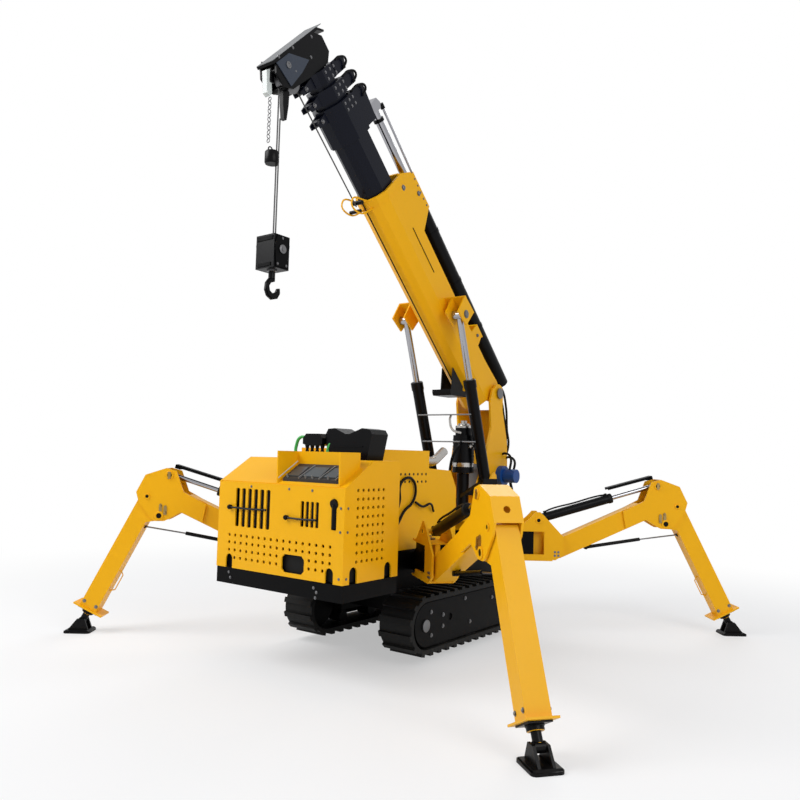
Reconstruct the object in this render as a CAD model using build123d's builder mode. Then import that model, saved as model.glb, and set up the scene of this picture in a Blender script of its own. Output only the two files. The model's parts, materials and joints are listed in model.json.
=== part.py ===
from build123d import *
import os
from math import cos, degrees, hypot, pi, radians, sin

# Compact crawler crane standing on four spread outriggers, its tracks just off the ground.
# X points to the bonnet end, Y to the left side, Z up; all sizes in millimetres.
# The origin is on the ground, at the centre of the square that the four foot pads span.

# Chassis and bonnet
FRAME_HALF = 395
FRAME_BOTTOM = 330
FRAME_MIDDLE = 568
FRAME_LOW_HALF = 368
FRAME_LOW_FRONT = 560
DECK_TOP = 950
FRAME_BACK = -1230
FRAME_FRONT = 1250
TRAY_BOTTOM = 630
BONNET_FRONT = 1927
BONNET_BACK = 1280
BONNET_HALF = 680
BONNET_BOTTOM = 757
BONNET_EAVE = 1443
BONNET_TOP = 1645
BONNET_SLOPE_END = 1605
SHEET = 12
HOUSE_HALF = 400
HOUSE_BACK = 474
HOUSE_TOP = 1735
POCKET = (-35, 615)
POCKET_BACK = 1690
POCKET_TOP = 1702

# Tracks
TRACK_OUT = 700
TRACK_IN = 378
TRACK_LOW = 65
TRACK_R = 226
TRACK_LUG = 22
TRACK_BELT = 34
TRACK_HALF_RUN = 725
TRACK_X = 150
LUG_PITCH = 120
TRACK_Z = TRACK_LOW + TRACK_LUG + TRACK_R

# Outriggers: each one lies in an upright plane through its own swing post; (r, z) in that plane
POST_X = 760
POST_Y = 604
SPREAD = 51.7
BRACKET_HALF = 110
KNUCKLE_HALF = 101
PLATE = 16
ARM_HALF = 76
ARM_TOP = 120
ARM_UNDER = -58
ARM_PIN = (400, 762)
ARM_SLOPE = 24.7
JACK_PIN = (218, 1085)
JACK_EYE = (1407, 1451)
JACK_GLAND = 790
FOLD_PIN = (1487, 1078)
ANKLE = (2165, 102)
LEG_LEAN = 26.45
LEG_INNER = 85
LEG_OUTER = 246
LEG_END = -1035
LEG_HALF = 80

# Upper works
SLEW_X = -850
TABLE_TOP = 1110
COLUMN_HALF = 215
PIVOT = (-1080, 2380)
BOOM_ANGLE = 43.25
LIFT_Y = 320
LIFT_FOOT = (-690, 1335)
LIFT_HEAD_S = 1187
LIFT_HEAD_N = -175
LIFT_LUG = 63
LIFT_GLAND = 1180
BASE_LENGTH = 2585
SECTION_STEP = 22
SECTION_TOPS = (140, 45, 20, -5, -30)
SECTION_WALL = 8
HEADS = (3420, 3560, 3700, 3830)
HEAD_LENGTH = (330, 110, 110)
ROPE_N = -415
TELE_N = 405
TELE_GLAND = 2330
WINCH = (-1140, 1500)
SHEAVE = (2000, 4622)
ROPE_X = (2100, 2040)
BLOCK_TOP = 3360

os.makedirs("parts", exist_ok=True)


def save(builder, name):
    """Labels a finished piece and writes it to its own file."""
    builder.part.label = name
    export_step(builder.part, f"parts/{name}.step")


def disc(plane, at, radius, low, high, mode=Mode.ADD):
    """Adds a round solid square to a plane, centred on a point of it, between two offsets."""
    with BuildSketch(plane.offset(low)) as outline:
        with Locations(at):
            Circle(radius)
    extrude(outline.sketch, amount=high - low, mode=mode)


def slab(plane, points, low, high, inset=0, mode=Mode.ADD):
    """Adds a plate with a straight-edged outline on a plane, between two offsets."""
    with BuildSketch(plane.offset(low)) as outline:
        with BuildLine():
            Polyline(*points, close=True)
        make_face()
        if inset:
            offset(amount=-inset, kind=Kind.INTERSECTION, mode=Mode.REPLACE)
    extrude(outline.sketch, amount=high - low, mode=mode)


def block(low, high, mode=Mode.ADD):
    """Adds a square-edged solid between two corners."""
    with Locations(tuple((a + b) / 2 for a, b in zip(low, high))):
        Box(*[b - a for a, b in zip(low, high)], mode=mode)


def between(start, end, distance):
    """The point at a distance from start towards end."""
    length = hypot(end[0] - start[0], end[1] - start[1])
    return tuple(s + (e - s) * distance / length for s, e in zip(start, end))


def bar(plane, start, end, outer, inner=0, mode=Mode.ADD):
    """Adds a round bar or tube from one point of a plane to another."""
    origin = plane.from_local_coords(Vector(*start, 0))
    axis = plane.from_local_coords(Vector(*end, 0)) - origin
    with BuildSketch(Plane(origin=origin, z_dir=axis)) as ring:
        Circle(outer)
        if inner:
            Circle(inner, mode=Mode.SUBTRACT)
    extrude(ring.sketch, amount=axis.length, mode=mode)


UPRIGHT = Plane(origin=(0, 0, 0), x_dir=(1, 0, 0), z_dir=(0, -1, 0))


def side_plane(y):
    """An upright lengthwise plane at a given Y; its own offsets run towards the right side."""
    return Plane(origin=(0, y, 0), x_dir=(1, 0, 0), z_dir=(0, -1, 0))


# Chassis: a box frame between the tracks, a tray under the bonnet and four arms to the swing posts
def outrigger_plane(sx, sy):
    """The upright plane of one outrigger: x runs outwards from the post, y runs up."""
    a = radians(SPREAD)
    run = Vector(sx * cos(a), sy * sin(a), 0)
    return Plane(origin=(sx * POST_X, sy * POST_Y, 0), x_dir=run, z_dir=run.cross(Vector(0, 0, 1)))


CORNERS = {"front_left": (1, 1), "front_right": (1, -1), "rear_left": (-1, 1), "rear_right": (-1, -1)}

with BuildPart() as chassis_frame:
    block((FRAME_BACK, -FRAME_HALF, FRAME_MIDDLE), (FRAME_FRONT, FRAME_HALF, DECK_TOP - 60))
    block((FRAME_BACK + 50, -FRAME_LOW_HALF, FRAME_BOTTOM), (FRAME_LOW_FRONT, FRAME_LOW_HALF, FRAME_MIDDLE + 1))
    block((FRAME_FRONT - 10, -FRAME_HALF, TRAY_BOTTOM), (BONNET_BACK + 20, FRAME_HALF, BONNET_BOTTOM - 1))
    block((BONNET_BACK, -BONNET_HALF + 5, TRAY_BOTTOM), (BONNET_FRONT - 5, BONNET_HALF - 5, BONNET_BOTTOM - 1))
    with Locations((SLEW_X, 0, DECK_TOP - 60)):
        Cylinder(400, 60, align=(Align.CENTER, Align.CENTER, Align.MIN))
    for sx, sy in CORNERS.values():
        slab(outrigger_plane(sx, sy), [(-420, 715), (0, 715), (0, 970), (-190, 860), (-420, 830)], -74, 74)
        with Locations((sx * POST_X, sy * POST_Y, 715)):
            Cylinder(80, 255, align=(Align.CENTER, Align.CENTER, Align.MIN))
    for sx, sy in CORNERS.values():
        with Locations((sx * POST_X, sy * POST_Y, 715)):
            Cylinder(36, 255, align=(Align.CENTER, Align.CENTER, Align.MIN), mode=Mode.SUBTRACT)
    for sx in (-1, 1):
        block((sx * 470 - 90, -TRACK_IN - 22, FRAME_BOTTOM - 30), (sx * 470 + 90, TRACK_IN + 22, FRAME_BOTTOM + 70))
save(chassis_frame, "chassis_frame")

# Bonnet: a front sheet, two side sheets and a roof with the open control pocket
with BuildPart() as hood_front:
    with BuildSketch(Plane(origin=(BONNET_FRONT, 0, 0), x_dir=(0, 1, 0), z_dir=(1, 0, 0))):
        with Locations((0, (BONNET_BOTTOM + BONNET_EAVE) / 2)):
            Rectangle(2 * (BONNET_HALF - SHEET), BONNET_EAVE - BONNET_BOTTOM)
        with Locations((-280, 1242)):
            with GridLocations(70, 0, 6, 1):
                Rectangle(34, 306, mode=Mode.SUBTRACT)
        with Locations((338, 1236)):
            with GridLocations(50, 0, 4, 1):
                Rectangle(26, 190, mode=Mode.SUBTRACT)
        with Locations((580, 1255)):
            SlotOverall(235, 60, rotation=90, mode=Mode.SUBTRACT)
        with Locations((182, 856)):
            Rectangle(235, 136, mode=Mode.SUBTRACT)
        for y in (-530, 550):
            with Locations((y, BONNET_BOTTOM + 30)):
                SlotOverall(160, 78, rotation=90, mode=Mode.SUBTRACT)
    extrude(amount=-SHEET)
save(hood_front, "hood_front")

SIDE_OUTLINE = [(BONNET_BACK, BONNET_BOTTOM), (BONNET_FRONT, BONNET_BOTTOM), (BONNET_FRONT, BONNET_EAVE),
                (BONNET_SLOPE_END, BONNET_TOP), (BONNET_BACK, BONNET_TOP)]
with BuildPart() as hood_sides:
    for y in (BONNET_HALF, -BONNET_HALF + SHEET):
        with BuildSketch(side_plane(y)):
            with BuildLine():
                Polyline(*SIDE_OUTLINE, close=True)
            make_face()
            for x in (1812, 1405):
                with Locations((x, BONNET_BOTTOM + 30)):
                    SlotOverall(180, 84, rotation=90, mode=Mode.SUBTRACT)
        extrude(amount=SHEET)
save(hood_sides, "hood_sides")

ROOF_HALF = BONNET_HALF - SHEET
SLOPE = (BONNET_TOP - BONNET_EAVE) / (BONNET_FRONT - BONNET_SLOPE_END)


def on_slope(x, lift=0):
    """A point over the bonnet's sloping front roof."""
    return (x, BONNET_EAVE + (BONNET_FRONT - x) * SLOPE + lift)


with BuildPart() as hood_roof:
    front = BONNET_FRONT - SHEET
    slab(UPRIGHT, [on_slope(front), (BONNET_SLOPE_END, BONNET_TOP), (BONNET_BACK, BONNET_TOP),
                   (BONNET_BACK, BONNET_TOP - SHEET), (BONNET_SLOPE_END - 3, BONNET_TOP - SHEET),
                   on_slope(front, -14)], -ROOF_HALF, ROOF_HALF)
    block((BONNET_BACK, -ROOF_HALF, BONNET_BOTTOM), (BONNET_BACK + SHEET, ROOF_HALF, BONNET_TOP - SHEET + 1))
    for y in (POCKET[0] + SHEET, POCKET[1]):
        slab(side_plane(y), [on_slope(front, -13), (front, POCKET_TOP), (POCKET_BACK, POCKET_TOP),
                             on_slope(POCKET_BACK, -13)], 0, SHEET)
    slab(UPRIGHT, [on_slope(POCKET_BACK + SHEET, -13), (POCKET_BACK + SHEET, POCKET_TOP), (POCKET_BACK, POCKET_TOP),
                   on_slope(POCKET_BACK, -13)], -POCKET[1], -POCKET[0])
save(hood_roof, "hood_roof")

with BuildPart() as control_panel:
    slab(UPRIGHT, [on_slope(front - 30, 1), on_slope(front - 30, 24), on_slope(POCKET_BACK + 20, 24),
                   on_slope(POCKET_BACK + 20, 1)], -POCKET[1] + 40, -POCKET[0] - 40)
save(control_panel, "control_panel")

with BuildPart() as engine_block:
    block((1330, -430, BONNET_BOTTOM), (1850, 250, 1400))
save(engine_block, "engine_block")

HOUSE_OUTLINE = [(BONNET_BACK - 6, DECK_TOP - 60), (BONNET_BACK - 6, HOUSE_TOP), (HOUSE_BACK, HOUSE_TOP),
                 (HOUSE_BACK, 1580), (120, 1560), (20, 1400), (20, DECK_TOP - 60)]
with BuildPart() as house:
    slab(UPRIGHT, HOUSE_OUTLINE, -HOUSE_HALF, HOUSE_HALF)
save(house, "house")

with BuildPart() as exhaust_elbow:
    with BuildLine(Plane(origin=(HOUSE_BACK, 290, 1640), x_dir=(-1, 0, 0), z_dir=(0, 1, 0))) as run:
        FilletPolyline((0, 0), (230, 0), (400, 100), radius=120)
    with BuildSketch(Plane(origin=run.line @ 0, z_dir=run.line % 0)):
        RegularPolygon(42, 16)
        RegularPolygon(36, 16, mode=Mode.SUBTRACT)
    sweep(path=run.line)
save(exhaust_elbow, "exhaust_elbow")


# Tracks: a rubber belt with cross lugs round an idler, a sprocket and rollers
def lug_places():
    """Even places round the belt, each with the direction that its lug points."""
    arc = pi * TRACK_R
    total = 4 * TRACK_HALF_RUN + 2 * arc
    count = round(total / LUG_PITCH)
    places = []
    for i in range(count):
        d = (i + 0.5) * total / count
        if d < 2 * TRACK_HALF_RUN:
            places.append((d - TRACK_HALF_RUN, -TRACK_R, -90))
        elif d < 2 * TRACK_HALF_RUN + arc:
            a = (d - 2 * TRACK_HALF_RUN) / TRACK_R - pi / 2
            places.append((TRACK_HALF_RUN + TRACK_R * cos(a), TRACK_R * sin(a), degrees(a)))
        elif d < 4 * TRACK_HALF_RUN + arc:
            places.append((TRACK_HALF_RUN - (d - 2 * TRACK_HALF_RUN - arc), TRACK_R, 90))
        else:
            a = (d - 4 * TRACK_HALF_RUN - arc) / TRACK_R + pi / 2
            places.append((-TRACK_HALF_RUN + TRACK_R * cos(a), TRACK_R * sin(a), degrees(a)))
    return places


def track_plane(y):
    """The side-view plane of a track at a given Y, centred between its wheels."""
    return Plane(origin=(TRACK_X, y, TRACK_Z), x_dir=(1, 0, 0), z_dir=(0, -1, 0))


for name, y in (("track_left", TRACK_OUT), ("track_right", -TRACK_IN)):
    with BuildPart() as track:
        with BuildSketch(track_plane(y)):
            SlotCenterToCenter(2 * TRACK_HALF_RUN, 2 * TRACK_R)
            for x, z, turn in lug_places():
                with Locations(Location((x, z, 0), (0, 0, turn))):
                    Rectangle(2 * TRACK_LUG, 46)
            SlotCenterToCenter(2 * TRACK_HALF_RUN, 2 * (TRACK_R - TRACK_BELT), mode=Mode.SUBTRACT)
        extrude(amount=TRACK_OUT - TRACK_IN)
    save(track, name)

with BuildPart() as track_frames:
    for cover, beam in ((TRACK_OUT - 22, TRACK_OUT - 34), (-TRACK_OUT + 34, -TRACK_IN - 22)):
        with BuildSketch(track_plane(cover)):
            SlotCenterToCenter(2 * TRACK_HALF_RUN - 60, 2 * (TRACK_R - TRACK_BELT - 14))
            with Locations((356, 18)):
                Circle(30, mode=Mode.SUBTRACT)
        extrude(amount=12)
        slab(track_plane(beam), [(-530, 120), (530, 120), (530, -60), (-530, -60)], 0, TRACK_OUT - TRACK_IN - 56)
save(track_frames, "track_frames")

with BuildPart() as track_wheels:
    roller_z = TRACK_BELT - TRACK_R + 58
    for side in (1, -1):
        plane = track_plane(side * (TRACK_IN + TRACK_OUT) / 2)
        for sides, radius, half, places in ((24, 185, 45, [(-TRACK_HALF_RUN, 0), (TRACK_HALF_RUN, 0)]),
                                            (12, 56, 70, [(x, roller_z) for x in (-420, 0, 420)])):
            with BuildSketch(plane.offset(-half)) as rims:
                with Locations(places):
                    RegularPolygon(radius, sides)
            extrude(rims.sketch, amount=2 * half)
save(track_wheels, "track_wheels")


# Outriggers
def arm_point(along, across):
    """A point set out from the arm's pin along and across the arm's own slope."""
    a = radians(ARM_SLOPE)
    return (ARM_PIN[0] + along * cos(a) - across * sin(a), ARM_PIN[1] + along * sin(a) + across * cos(a))


def leg_point(out, up):
    """A point of the leg, set out from the fold pin: outwards across the leg, and up along it."""
    a = radians(LEG_LEAN)
    return (FOLD_PIN[0] + out * cos(a) - up * sin(a), FOLD_PIN[1] + out * sin(a) + up * cos(a))


BRACKET_OUTLINE = [(0, 700), (390, 700), (470, 750), (470, 925), (275, 1130), (235, 1165), (190, 1165), (150, 1120),
                   (0, 985)]
KNUCKLE_OUTLINE = [(1090, 1024), (1290, 1114), (1410, 1044), (1440, 1030), (1520, 1028), (1562, 1050), (1680, 1200),
                   (1706, 1290), (1628, 1450), (1440, 1515), (1345, 1490), (1272, 1300), (1060, 1188)]
KNUCKLE_COVER = [(1440, 1515), (1628, 1450), (1706, 1290), (1696, 1287), (1620, 1442), (1438, 1505)]
CAP_HOLE = (1667, 1370)


def make_bracket(name, plane):
    """The swinging root bracket: two cheeks, a top and a bottom plate, its post and its pins."""
    with BuildPart() as bracket:
        for low in (-BRACKET_HALF, BRACKET_HALF - PLATE):
            slab(plane, BRACKET_OUTLINE, low, low + PLATE)
            slab(plane, [(-20, 752), (275, 752), (275, 975), (-20, 975)], low - 1, low + PLATE + 1, mode=Mode.SUBTRACT)
        slab(plane, [(-85, 690), (360, 690), (360, 706), (-85, 706)], -BRACKET_HALF, BRACKET_HALF)
        slab(plane, [(-85, 979), (250, 979), (250, 995), (-85, 995)], -BRACKET_HALF, BRACKET_HALF)
        with Locations(plane.from_local_coords(Vector(0, 680, 0))):
            Cylinder(34, 340, align=(Align.CENTER, Align.CENTER, Align.MIN))
        disc(plane, ARM_PIN, 25, -BRACKET_HALF + 2, BRACKET_HALF - 2)
        disc(plane, JACK_PIN, 20, -BRACKET_HALF + 2, BRACKET_HALF - 2)
    save(bracket, f"bracket_{name}")


def make_arm(name, plane):
    """The sloping arm with its knuckle: a box beam between two large cheeks, and a cover over the leg's head."""
    with BuildPart() as arm:
        slab(plane, [arm_point(-40, -20), arm_point(20, ARM_UNDER), arm_point(960, ARM_UNDER),
                     arm_point(960, ARM_TOP), arm_point(40, ARM_TOP), arm_point(-40, 40)], -ARM_HALF, ARM_HALF)
        disc(plane, ARM_PIN, 25.5, -ARM_HALF - 1, ARM_HALF + 1, mode=Mode.SUBTRACT)
        for low in (-KNUCKLE_HALF, KNUCKLE_HALF - PLATE):
            slab(plane, KNUCKLE_OUTLINE, low, low + PLATE)
        for low in (-KNUCKLE_HALF + 1, ARM_HALF - 1):
            slab(plane, [(1110, 1060), (1276, 1140), (1258, 1285), (1070, 1180)], low, low + 25)
        slab(plane, KNUCKLE_COVER, -KNUCKLE_HALF, KNUCKLE_HALF)
        bar(plane, (CAP_HOLE[0] - 27, CAP_HOLE[1] - 13), (CAP_HOLE[0] + 27, CAP_HOLE[1] + 13), 24, mode=Mode.SUBTRACT)
        disc(plane, FOLD_PIN, 25, -KNUCKLE_HALF + 2, KNUCKLE_HALF - 2)
    save(arm, f"arm_{name}")


def make_jack(name, plane):
    """The arm's hydraulic cylinder: a barrel on the bracket's upper pin, and its rod."""
    with BuildPart() as barrel:
        bar(plane, between(JACK_PIN, JACK_EYE, 60), between(JACK_PIN, JACK_EYE, JACK_GLAND), 44, 24)
        bar(plane, between(JACK_PIN, JACK_EYE, 30), between(JACK_PIN, JACK_EYE, 75), 44)
        disc(plane, JACK_PIN, 42, -32, 32)
        disc(plane, JACK_PIN, 20.5, -50, 50, mode=Mode.SUBTRACT)
    save(barrel, f"jack_barrel_{name}")
    with BuildPart() as rod:
        bar(plane, between(JACK_PIN, JACK_EYE, 320), JACK_EYE, 22)
        disc(plane, JACK_EYE, 38, -34, 34)
    save(rod, f"jack_rod_{name}")


def make_leg(name, plane):
    """The leg: a square tube with its fold lug, and an ankle lug under its end flange."""
    with BuildPart() as leg:
        slab(plane, [leg_point(LEG_INNER, LEG_END), leg_point(LEG_OUTER, LEG_END), leg_point(LEG_OUTER, 95),
                     leg_point(145, 190), leg_point(LEG_INNER, 130)], -LEG_HALF, LEG_HALF)
        slab(plane, [leg_point(-10, -47), leg_point(95, -120), leg_point(95, 120), leg_point(-10, 47)], -LEG_HALF,
             LEG_HALF)
        disc(plane, FOLD_PIN, 48, -LEG_HALF, LEG_HALF)
        disc(plane, FOLD_PIN, 25.5, -LEG_HALF - 10, LEG_HALF + 10, mode=Mode.SUBTRACT)
        slab(plane, [leg_point(LEG_INNER - 70, LEG_END), leg_point(LEG_OUTER + 54, LEG_END),
                     leg_point(LEG_OUTER + 54, LEG_END - 14), leg_point(LEG_INNER - 70, LEG_END - 14)],
             -LEG_HALF - 22, LEG_HALF + 22)
        bar(plane, leg_point(165, LEG_END - 10), between(ANKLE, leg_point(165, LEG_END), 80), 50)
        bar(plane, between(ANKLE, leg_point(165, LEG_END), 85), ANKLE, 28)
        disc(plane, ANKLE, 30, -29, 29)
        disc(plane, ANKLE, 16.5, -40, 40, mode=Mode.SUBTRACT)
    save(leg, f"leg_{name}")


def make_foot(name, plane):
    """The foot pad, with two cheeks up to the ankle pin."""
    x = ANKLE[0] + 20
    with BuildPart() as foot:
        with BuildSketch(Plane(origin=plane.from_local_coords(Vector(x, 0, 0)), x_dir=plane.x_dir, z_dir=(0, 0, 1))):
            RectangleRounded(238, 200, 32)
        extrude(amount=18)
        slab(plane, [(x - 112, 17), (x + 112, 17), (x + 96, 28), (x - 96, 28)], -88, 88)
        for low in (-54, 36):
            slab(plane, [(x - 90, 27), (x + 90, 27), (ANKLE[0] + 34, 122), (ANKLE[0] - 34, 122)], low, low + 18)
        disc(plane, ANKLE, 16, -53, 53)
    save(foot, f"foot_{name}")


for corner, (sx, sy) in CORNERS.items():
    plane = outrigger_plane(sx, sy)
    make_bracket(corner, plane)
    make_arm(corner, plane)
    make_jack(corner, plane)
    make_leg(corner, plane)
    make_foot(corner, plane)

# Upper works: turntable, column, winch and slew drive
with BuildPart() as turntable:
    with Locations((SLEW_X, 0, DECK_TOP + 2)):
        Cylinder(380, 104, align=(Align.CENTER, Align.CENTER, Align.MIN))
    with BuildSketch(Plane.XY.offset(DECK_TOP + 104)):
        with Locations((SLEW_X, 0)):
            Circle(515)
    extrude(amount=TABLE_TOP - DECK_TOP - 104)
    for side in (1, -1):
        plane = side_plane(side * LIFT_Y)
        for low in (-LIFT_LUG - PLATE, LIFT_LUG):
            slab(plane, [(-820, TABLE_TOP - 5), (-560, TABLE_TOP - 5), (-600, 1430), (-645, 1525), (-690, 1545),
                         (-738, 1515), (-765, 1400)], low, low + PLATE)
        disc(plane, LIFT_FOOT, 24, -LIFT_LUG - 1, LIFT_LUG + 1)
save(turntable, "turntable")

COLUMN_REAR = [(-1290, 1110), (-1300, 1500), (-1292, 1750), (-1277, 1880), (-1215, 2080), (-1172, 2210)]
COLUMN = [*COLUMN_REAR, (-1180, 2380), (-960, 2430), (-905, 2280), (-940, 2010), (-860, 1800), (-800, 1500), (-760, 1110)]
with BuildPart() as column:
    for low in (-COLUMN_HALF, COLUMN_HALF - 22):
        slab(UPRIGHT, COLUMN, low, low + 22)
        disc(UPRIGHT, PIVOT, 100, low, low + 22)
    slab(UPRIGHT, [*COLUMN_REAR, *[(x + 18, z) for x, z in reversed(COLUMN_REAR)]], -COLUMN_HALF, COLUMN_HALF)
    slab(UPRIGHT, [(-1000, 1110), (-980, 1110), (-960, 1500), (-1000, 1760), (-1020, 1760), (-980, 1500)],
         -COLUMN_HALF, COLUMN_HALF)
    disc(UPRIGHT, PIVOT, 35, -COLUMN_HALF - 14, COLUMN_HALF + 14)
    disc(UPRIGHT, WINCH, 30, -COLUMN_HALF + 2, COLUMN_HALF - 2)
save(column, "column")

with BuildPart() as winch:
    disc(UPRIGHT, WINCH, 70, -185, 185)
    for low in (-187, 177):
        disc(UPRIGHT, WINCH, 130, low, low + 10)
    disc(UPRIGHT, WINCH, 31, -200, 200, mode=Mode.SUBTRACT)
save(winch, "winch")

with BuildPart() as winch_motor:
    disc(UPRIGHT, WINCH, 105, -COLUMN_HALF - 60, -COLUMN_HALF)
    disc(UPRIGHT, WINCH, 72, -COLUMN_HALF - 200, -COLUMN_HALF - 60)
save(winch_motor, "winch_motor")

with BuildPart() as slew_drive:
    for radius, low, high in ((62, 0, 420), (108, 420, 800), (86, 800, 890)):
        with Locations((-560, 110, TABLE_TOP + low)):
            Cylinder(radius, high - low, align=(Align.CENTER, Align.CENTER, Align.MIN))
save(slew_drive, "slew_drive")

# Boom: five nested sections along a plane whose x runs up the boom and y across it
BOOM = Plane(origin=(PIVOT[0], 0, PIVOT[1]), x_dir=(cos(radians(BOOM_ANGLE)), 0, sin(radians(BOOM_ANGLE))),
             z_dir=(0, -1, 0))


def tube(step, start, end, wall, grow=0):
    """Adds a length of one boom section's tube; each step is set in from the one round it."""
    inset, top = step * SECTION_STEP, SECTION_TOPS[step]
    with BuildSketch(Plane(origin=BOOM.from_local_coords(Vector(start, 0, 0)), x_dir=(0, 1, 0),
                           z_dir=BOOM.x_dir)) as ring:
        with BuildLine():
            Polyline((0, top), (125 - inset, top), (165 - inset, top - 40), (165 - inset, -170),
                     (105 - 0.7 * inset, inset - 262), (40, inset - 300), (0, inset - 300))
            mirror(about=Plane.YZ)
        make_face()
        if grow:
            offset(amount=grow, kind=Kind.INTERSECTION, mode=Mode.REPLACE)
        if wall:
            offset(amount=-wall, kind=Kind.INTERSECTION, mode=Mode.SUBTRACT)
    extrude(ring.sketch, amount=end - start)


def lift_lug_planes():
    """For each side, the boom plane moved to the lift cylinder there."""
    return [BOOM.offset(-side * LIFT_Y) for side in (1, -1)]


with BuildPart() as boom_base:
    tube(0, 60, BASE_LENGTH, SECTION_WALL + 2)
    for low in (-165, 145):
        slab(BOOM, [(-100, -60), (-60, 110), (60, 130), (420, 98), (420, -168), (60, -168)], low, low + 20)
    disc(BOOM, (0, 0), 36, -200, 200, mode=Mode.SUBTRACT)
    tube(0, BASE_LENGTH - 70, BASE_LENGTH, 24, grow=14)
    for plane in lift_lug_planes():
        for low in (-LIFT_LUG - PLATE, LIFT_LUG):
            slab(plane, [(1105, -245), (1290, -265), (1325, -60), (1110, -45)], low, low + PLATE)
    for low, high in ((-LIFT_Y - LIFT_LUG - PLATE, -160), (160, LIFT_Y + LIFT_LUG + PLATE)):
        slab(BOOM, [(1110, -60), (1325, -75), (1325, -58), (1110, -43)], low, high)
    for low in (-161, 145):
        slab(BOOM, [(1990, 100), (2118, 342), (2494, 335), (2600, 100)], low, low + PLATE)
    slab(BOOM, [(2150, 306), (2480, 306), (2480, 322.8), (2150, 322.8)], -150, 150)
    for low in (-106, 90):
        slab(BOOM, [(520, 130), (720, 130), (700, 322), (560, 322)], low, low + PLATE)
    slab(BOOM, [(540, 306), (705, 306), (705, 322.8), (540, 322.8)], -106, 106)
save(boom_base, "boom_base")

with BuildPart() as telescope_barrel:
    bar(BOOM, (300, TELE_N), (TELE_GLAND, TELE_N), 82, 41)
    bar(BOOM, (-200, TELE_N), (301, TELE_N), 82)
save(telescope_barrel, "telescope_barrel")

for i, head in enumerate(HEADS[:3], start=2):
    step = i - 1
    back = head - HEAD_LENGTH[i - 2]
    top_n = 265 - 45 * (i - 2)
    guide = step * SECTION_STEP - 306
    with BuildPart() as section:
        tube(step, 130 + 20 * i, head, SECTION_WALL)
        tube(step, back, head, 26 + SECTION_WALL, grow=26)
        for low in (-112, 94):
            slab(BOOM, [(back, SECTION_TOPS[step]), (head, SECTION_TOPS[step]), (head, top_n - 50), (head - 40, top_n),
                        (back, top_n - 30)], low, low + 18)
        slab(BOOM, [(back, top_n - 46), (head - 36, top_n - 16), (head - 40, top_n), (back, top_n - 30)], -112, 112)
        for low in (-52, 40):
            slab(BOOM, [(head - 100, guide), (head - 6, guide), (head - 40, ROPE_N - 20), (head - 80, ROPE_N - 20)], low,
                 low + 12)
        disc(BOOM, (head - 52, ROPE_N + 36), 28, -45, 45)
    save(section, f"boom_section_{i}")

with BuildPart() as telescope_rod:
    bar(BOOM, (450, TELE_N), (HEADS[0] - 230, TELE_N), 38)
    slab(BOOM, [(3110, 241), (3190, 247), (3205, 430), (3150, 460), (3105, 430)], -60, 60)
save(telescope_rod, "telescope_rod")

TIP = HEADS[3]
with BuildPart() as boom_tip:
    tube(4, 230, TIP - 112, SECTION_WALL)
    for low in (-91, 75):
        slab(BOOM, [(TIP - 124, -300), (TIP - 124, -20), (TIP - 60, 60), (TIP + 70, 60), (TIP + 128, -20),
                    (TIP + 130, -590), (TIP + 60, -650), (TIP - 60, -640), (TIP - 110, -560)], low, low + 16)
    slab(BOOM, [(TIP + 122, -620), (TIP + 144, -620), (TIP + 148, 40), (TIP + 96, 118), (TIP + 84, 108), (TIP + 124, 38)],
         -92, 92)
    sheave_at = BOOM.to_local_coords(Vector(SHEAVE[0], 0, SHEAVE[1]))
    disc(BOOM, (sheave_at.X, sheave_at.Y), 20, -89, 89)
save(boom_tip, "boom_tip")

with BuildPart() as head_sheave:
    with BuildSketch(Plane(origin=(SHEAVE[0], 0, SHEAVE[1]), x_dir=(1, 0, 0), z_dir=(0, 0, 1))):
        with BuildLine():
            Polyline((20.5, -30), (112, -30), (112, -22), (94, 0), (112, 22), (112, 30), (20.5, 30), close=True)
        make_face()
    revolve(axis=Axis((SHEAVE[0], 0, SHEAVE[1]), (0, 1, 0)))
save(head_sheave, "head_sheave")

# Lift cylinders: one on each side, a pair that moves together
lift_head = BOOM.from_local_coords(Vector(LIFT_HEAD_S, LIFT_HEAD_N, 0))
LIFT_HEAD = (lift_head.X, lift_head.Z)
with BuildPart() as lift_barrels:
    for y in (LIFT_Y, -LIFT_Y):
        plane = side_plane(y)
        bar(plane, between(LIFT_FOOT, LIFT_HEAD, 125), between(LIFT_FOOT, LIFT_HEAD, LIFT_GLAND), 58, 34)
        bar(plane, between(LIFT_FOOT, LIFT_HEAD, 90), between(LIFT_FOOT, LIFT_HEAD, 130), 58)
        bar(plane, LIFT_FOOT, between(LIFT_FOOT, LIFT_HEAD, 95), 34)
        disc(plane, LIFT_FOOT, 48, -57, 57)
        disc(plane, LIFT_FOOT, 24.5, -60, 60, mode=Mode.SUBTRACT)
save(lift_barrels, "lift_barrels")

with BuildPart() as lift_rods:
    for y in (LIFT_Y, -LIFT_Y):
        plane = side_plane(y)
        bar(plane, between(LIFT_FOOT, LIFT_HEAD, 720), LIFT_HEAD, 32)
        disc(plane, LIFT_HEAD, 46, -57, 57)
save(lift_rods, "lift_rods")

# Hook line: two falls of rope, the block and the hook under it
with BuildPart() as hoist_rope:
    for x, y, top in ((ROPE_X[0], 20, SHEAVE[1] - 110), (ROPE_X[1], -20, 4300)):
        with Locations((x, y, BLOCK_TOP - 20)):
            Cylinder(6, top - BLOCK_TOP + 20, align=(Align.CENTER, Align.CENTER, Align.MIN))
save(hoist_rope, "hoist_rope")

with BuildPart() as hook_block:
    block((2000, -98, BLOCK_TOP - 280), (2160, 98, BLOCK_TOP - 21))
save(hook_block, "hook_block")

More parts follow.
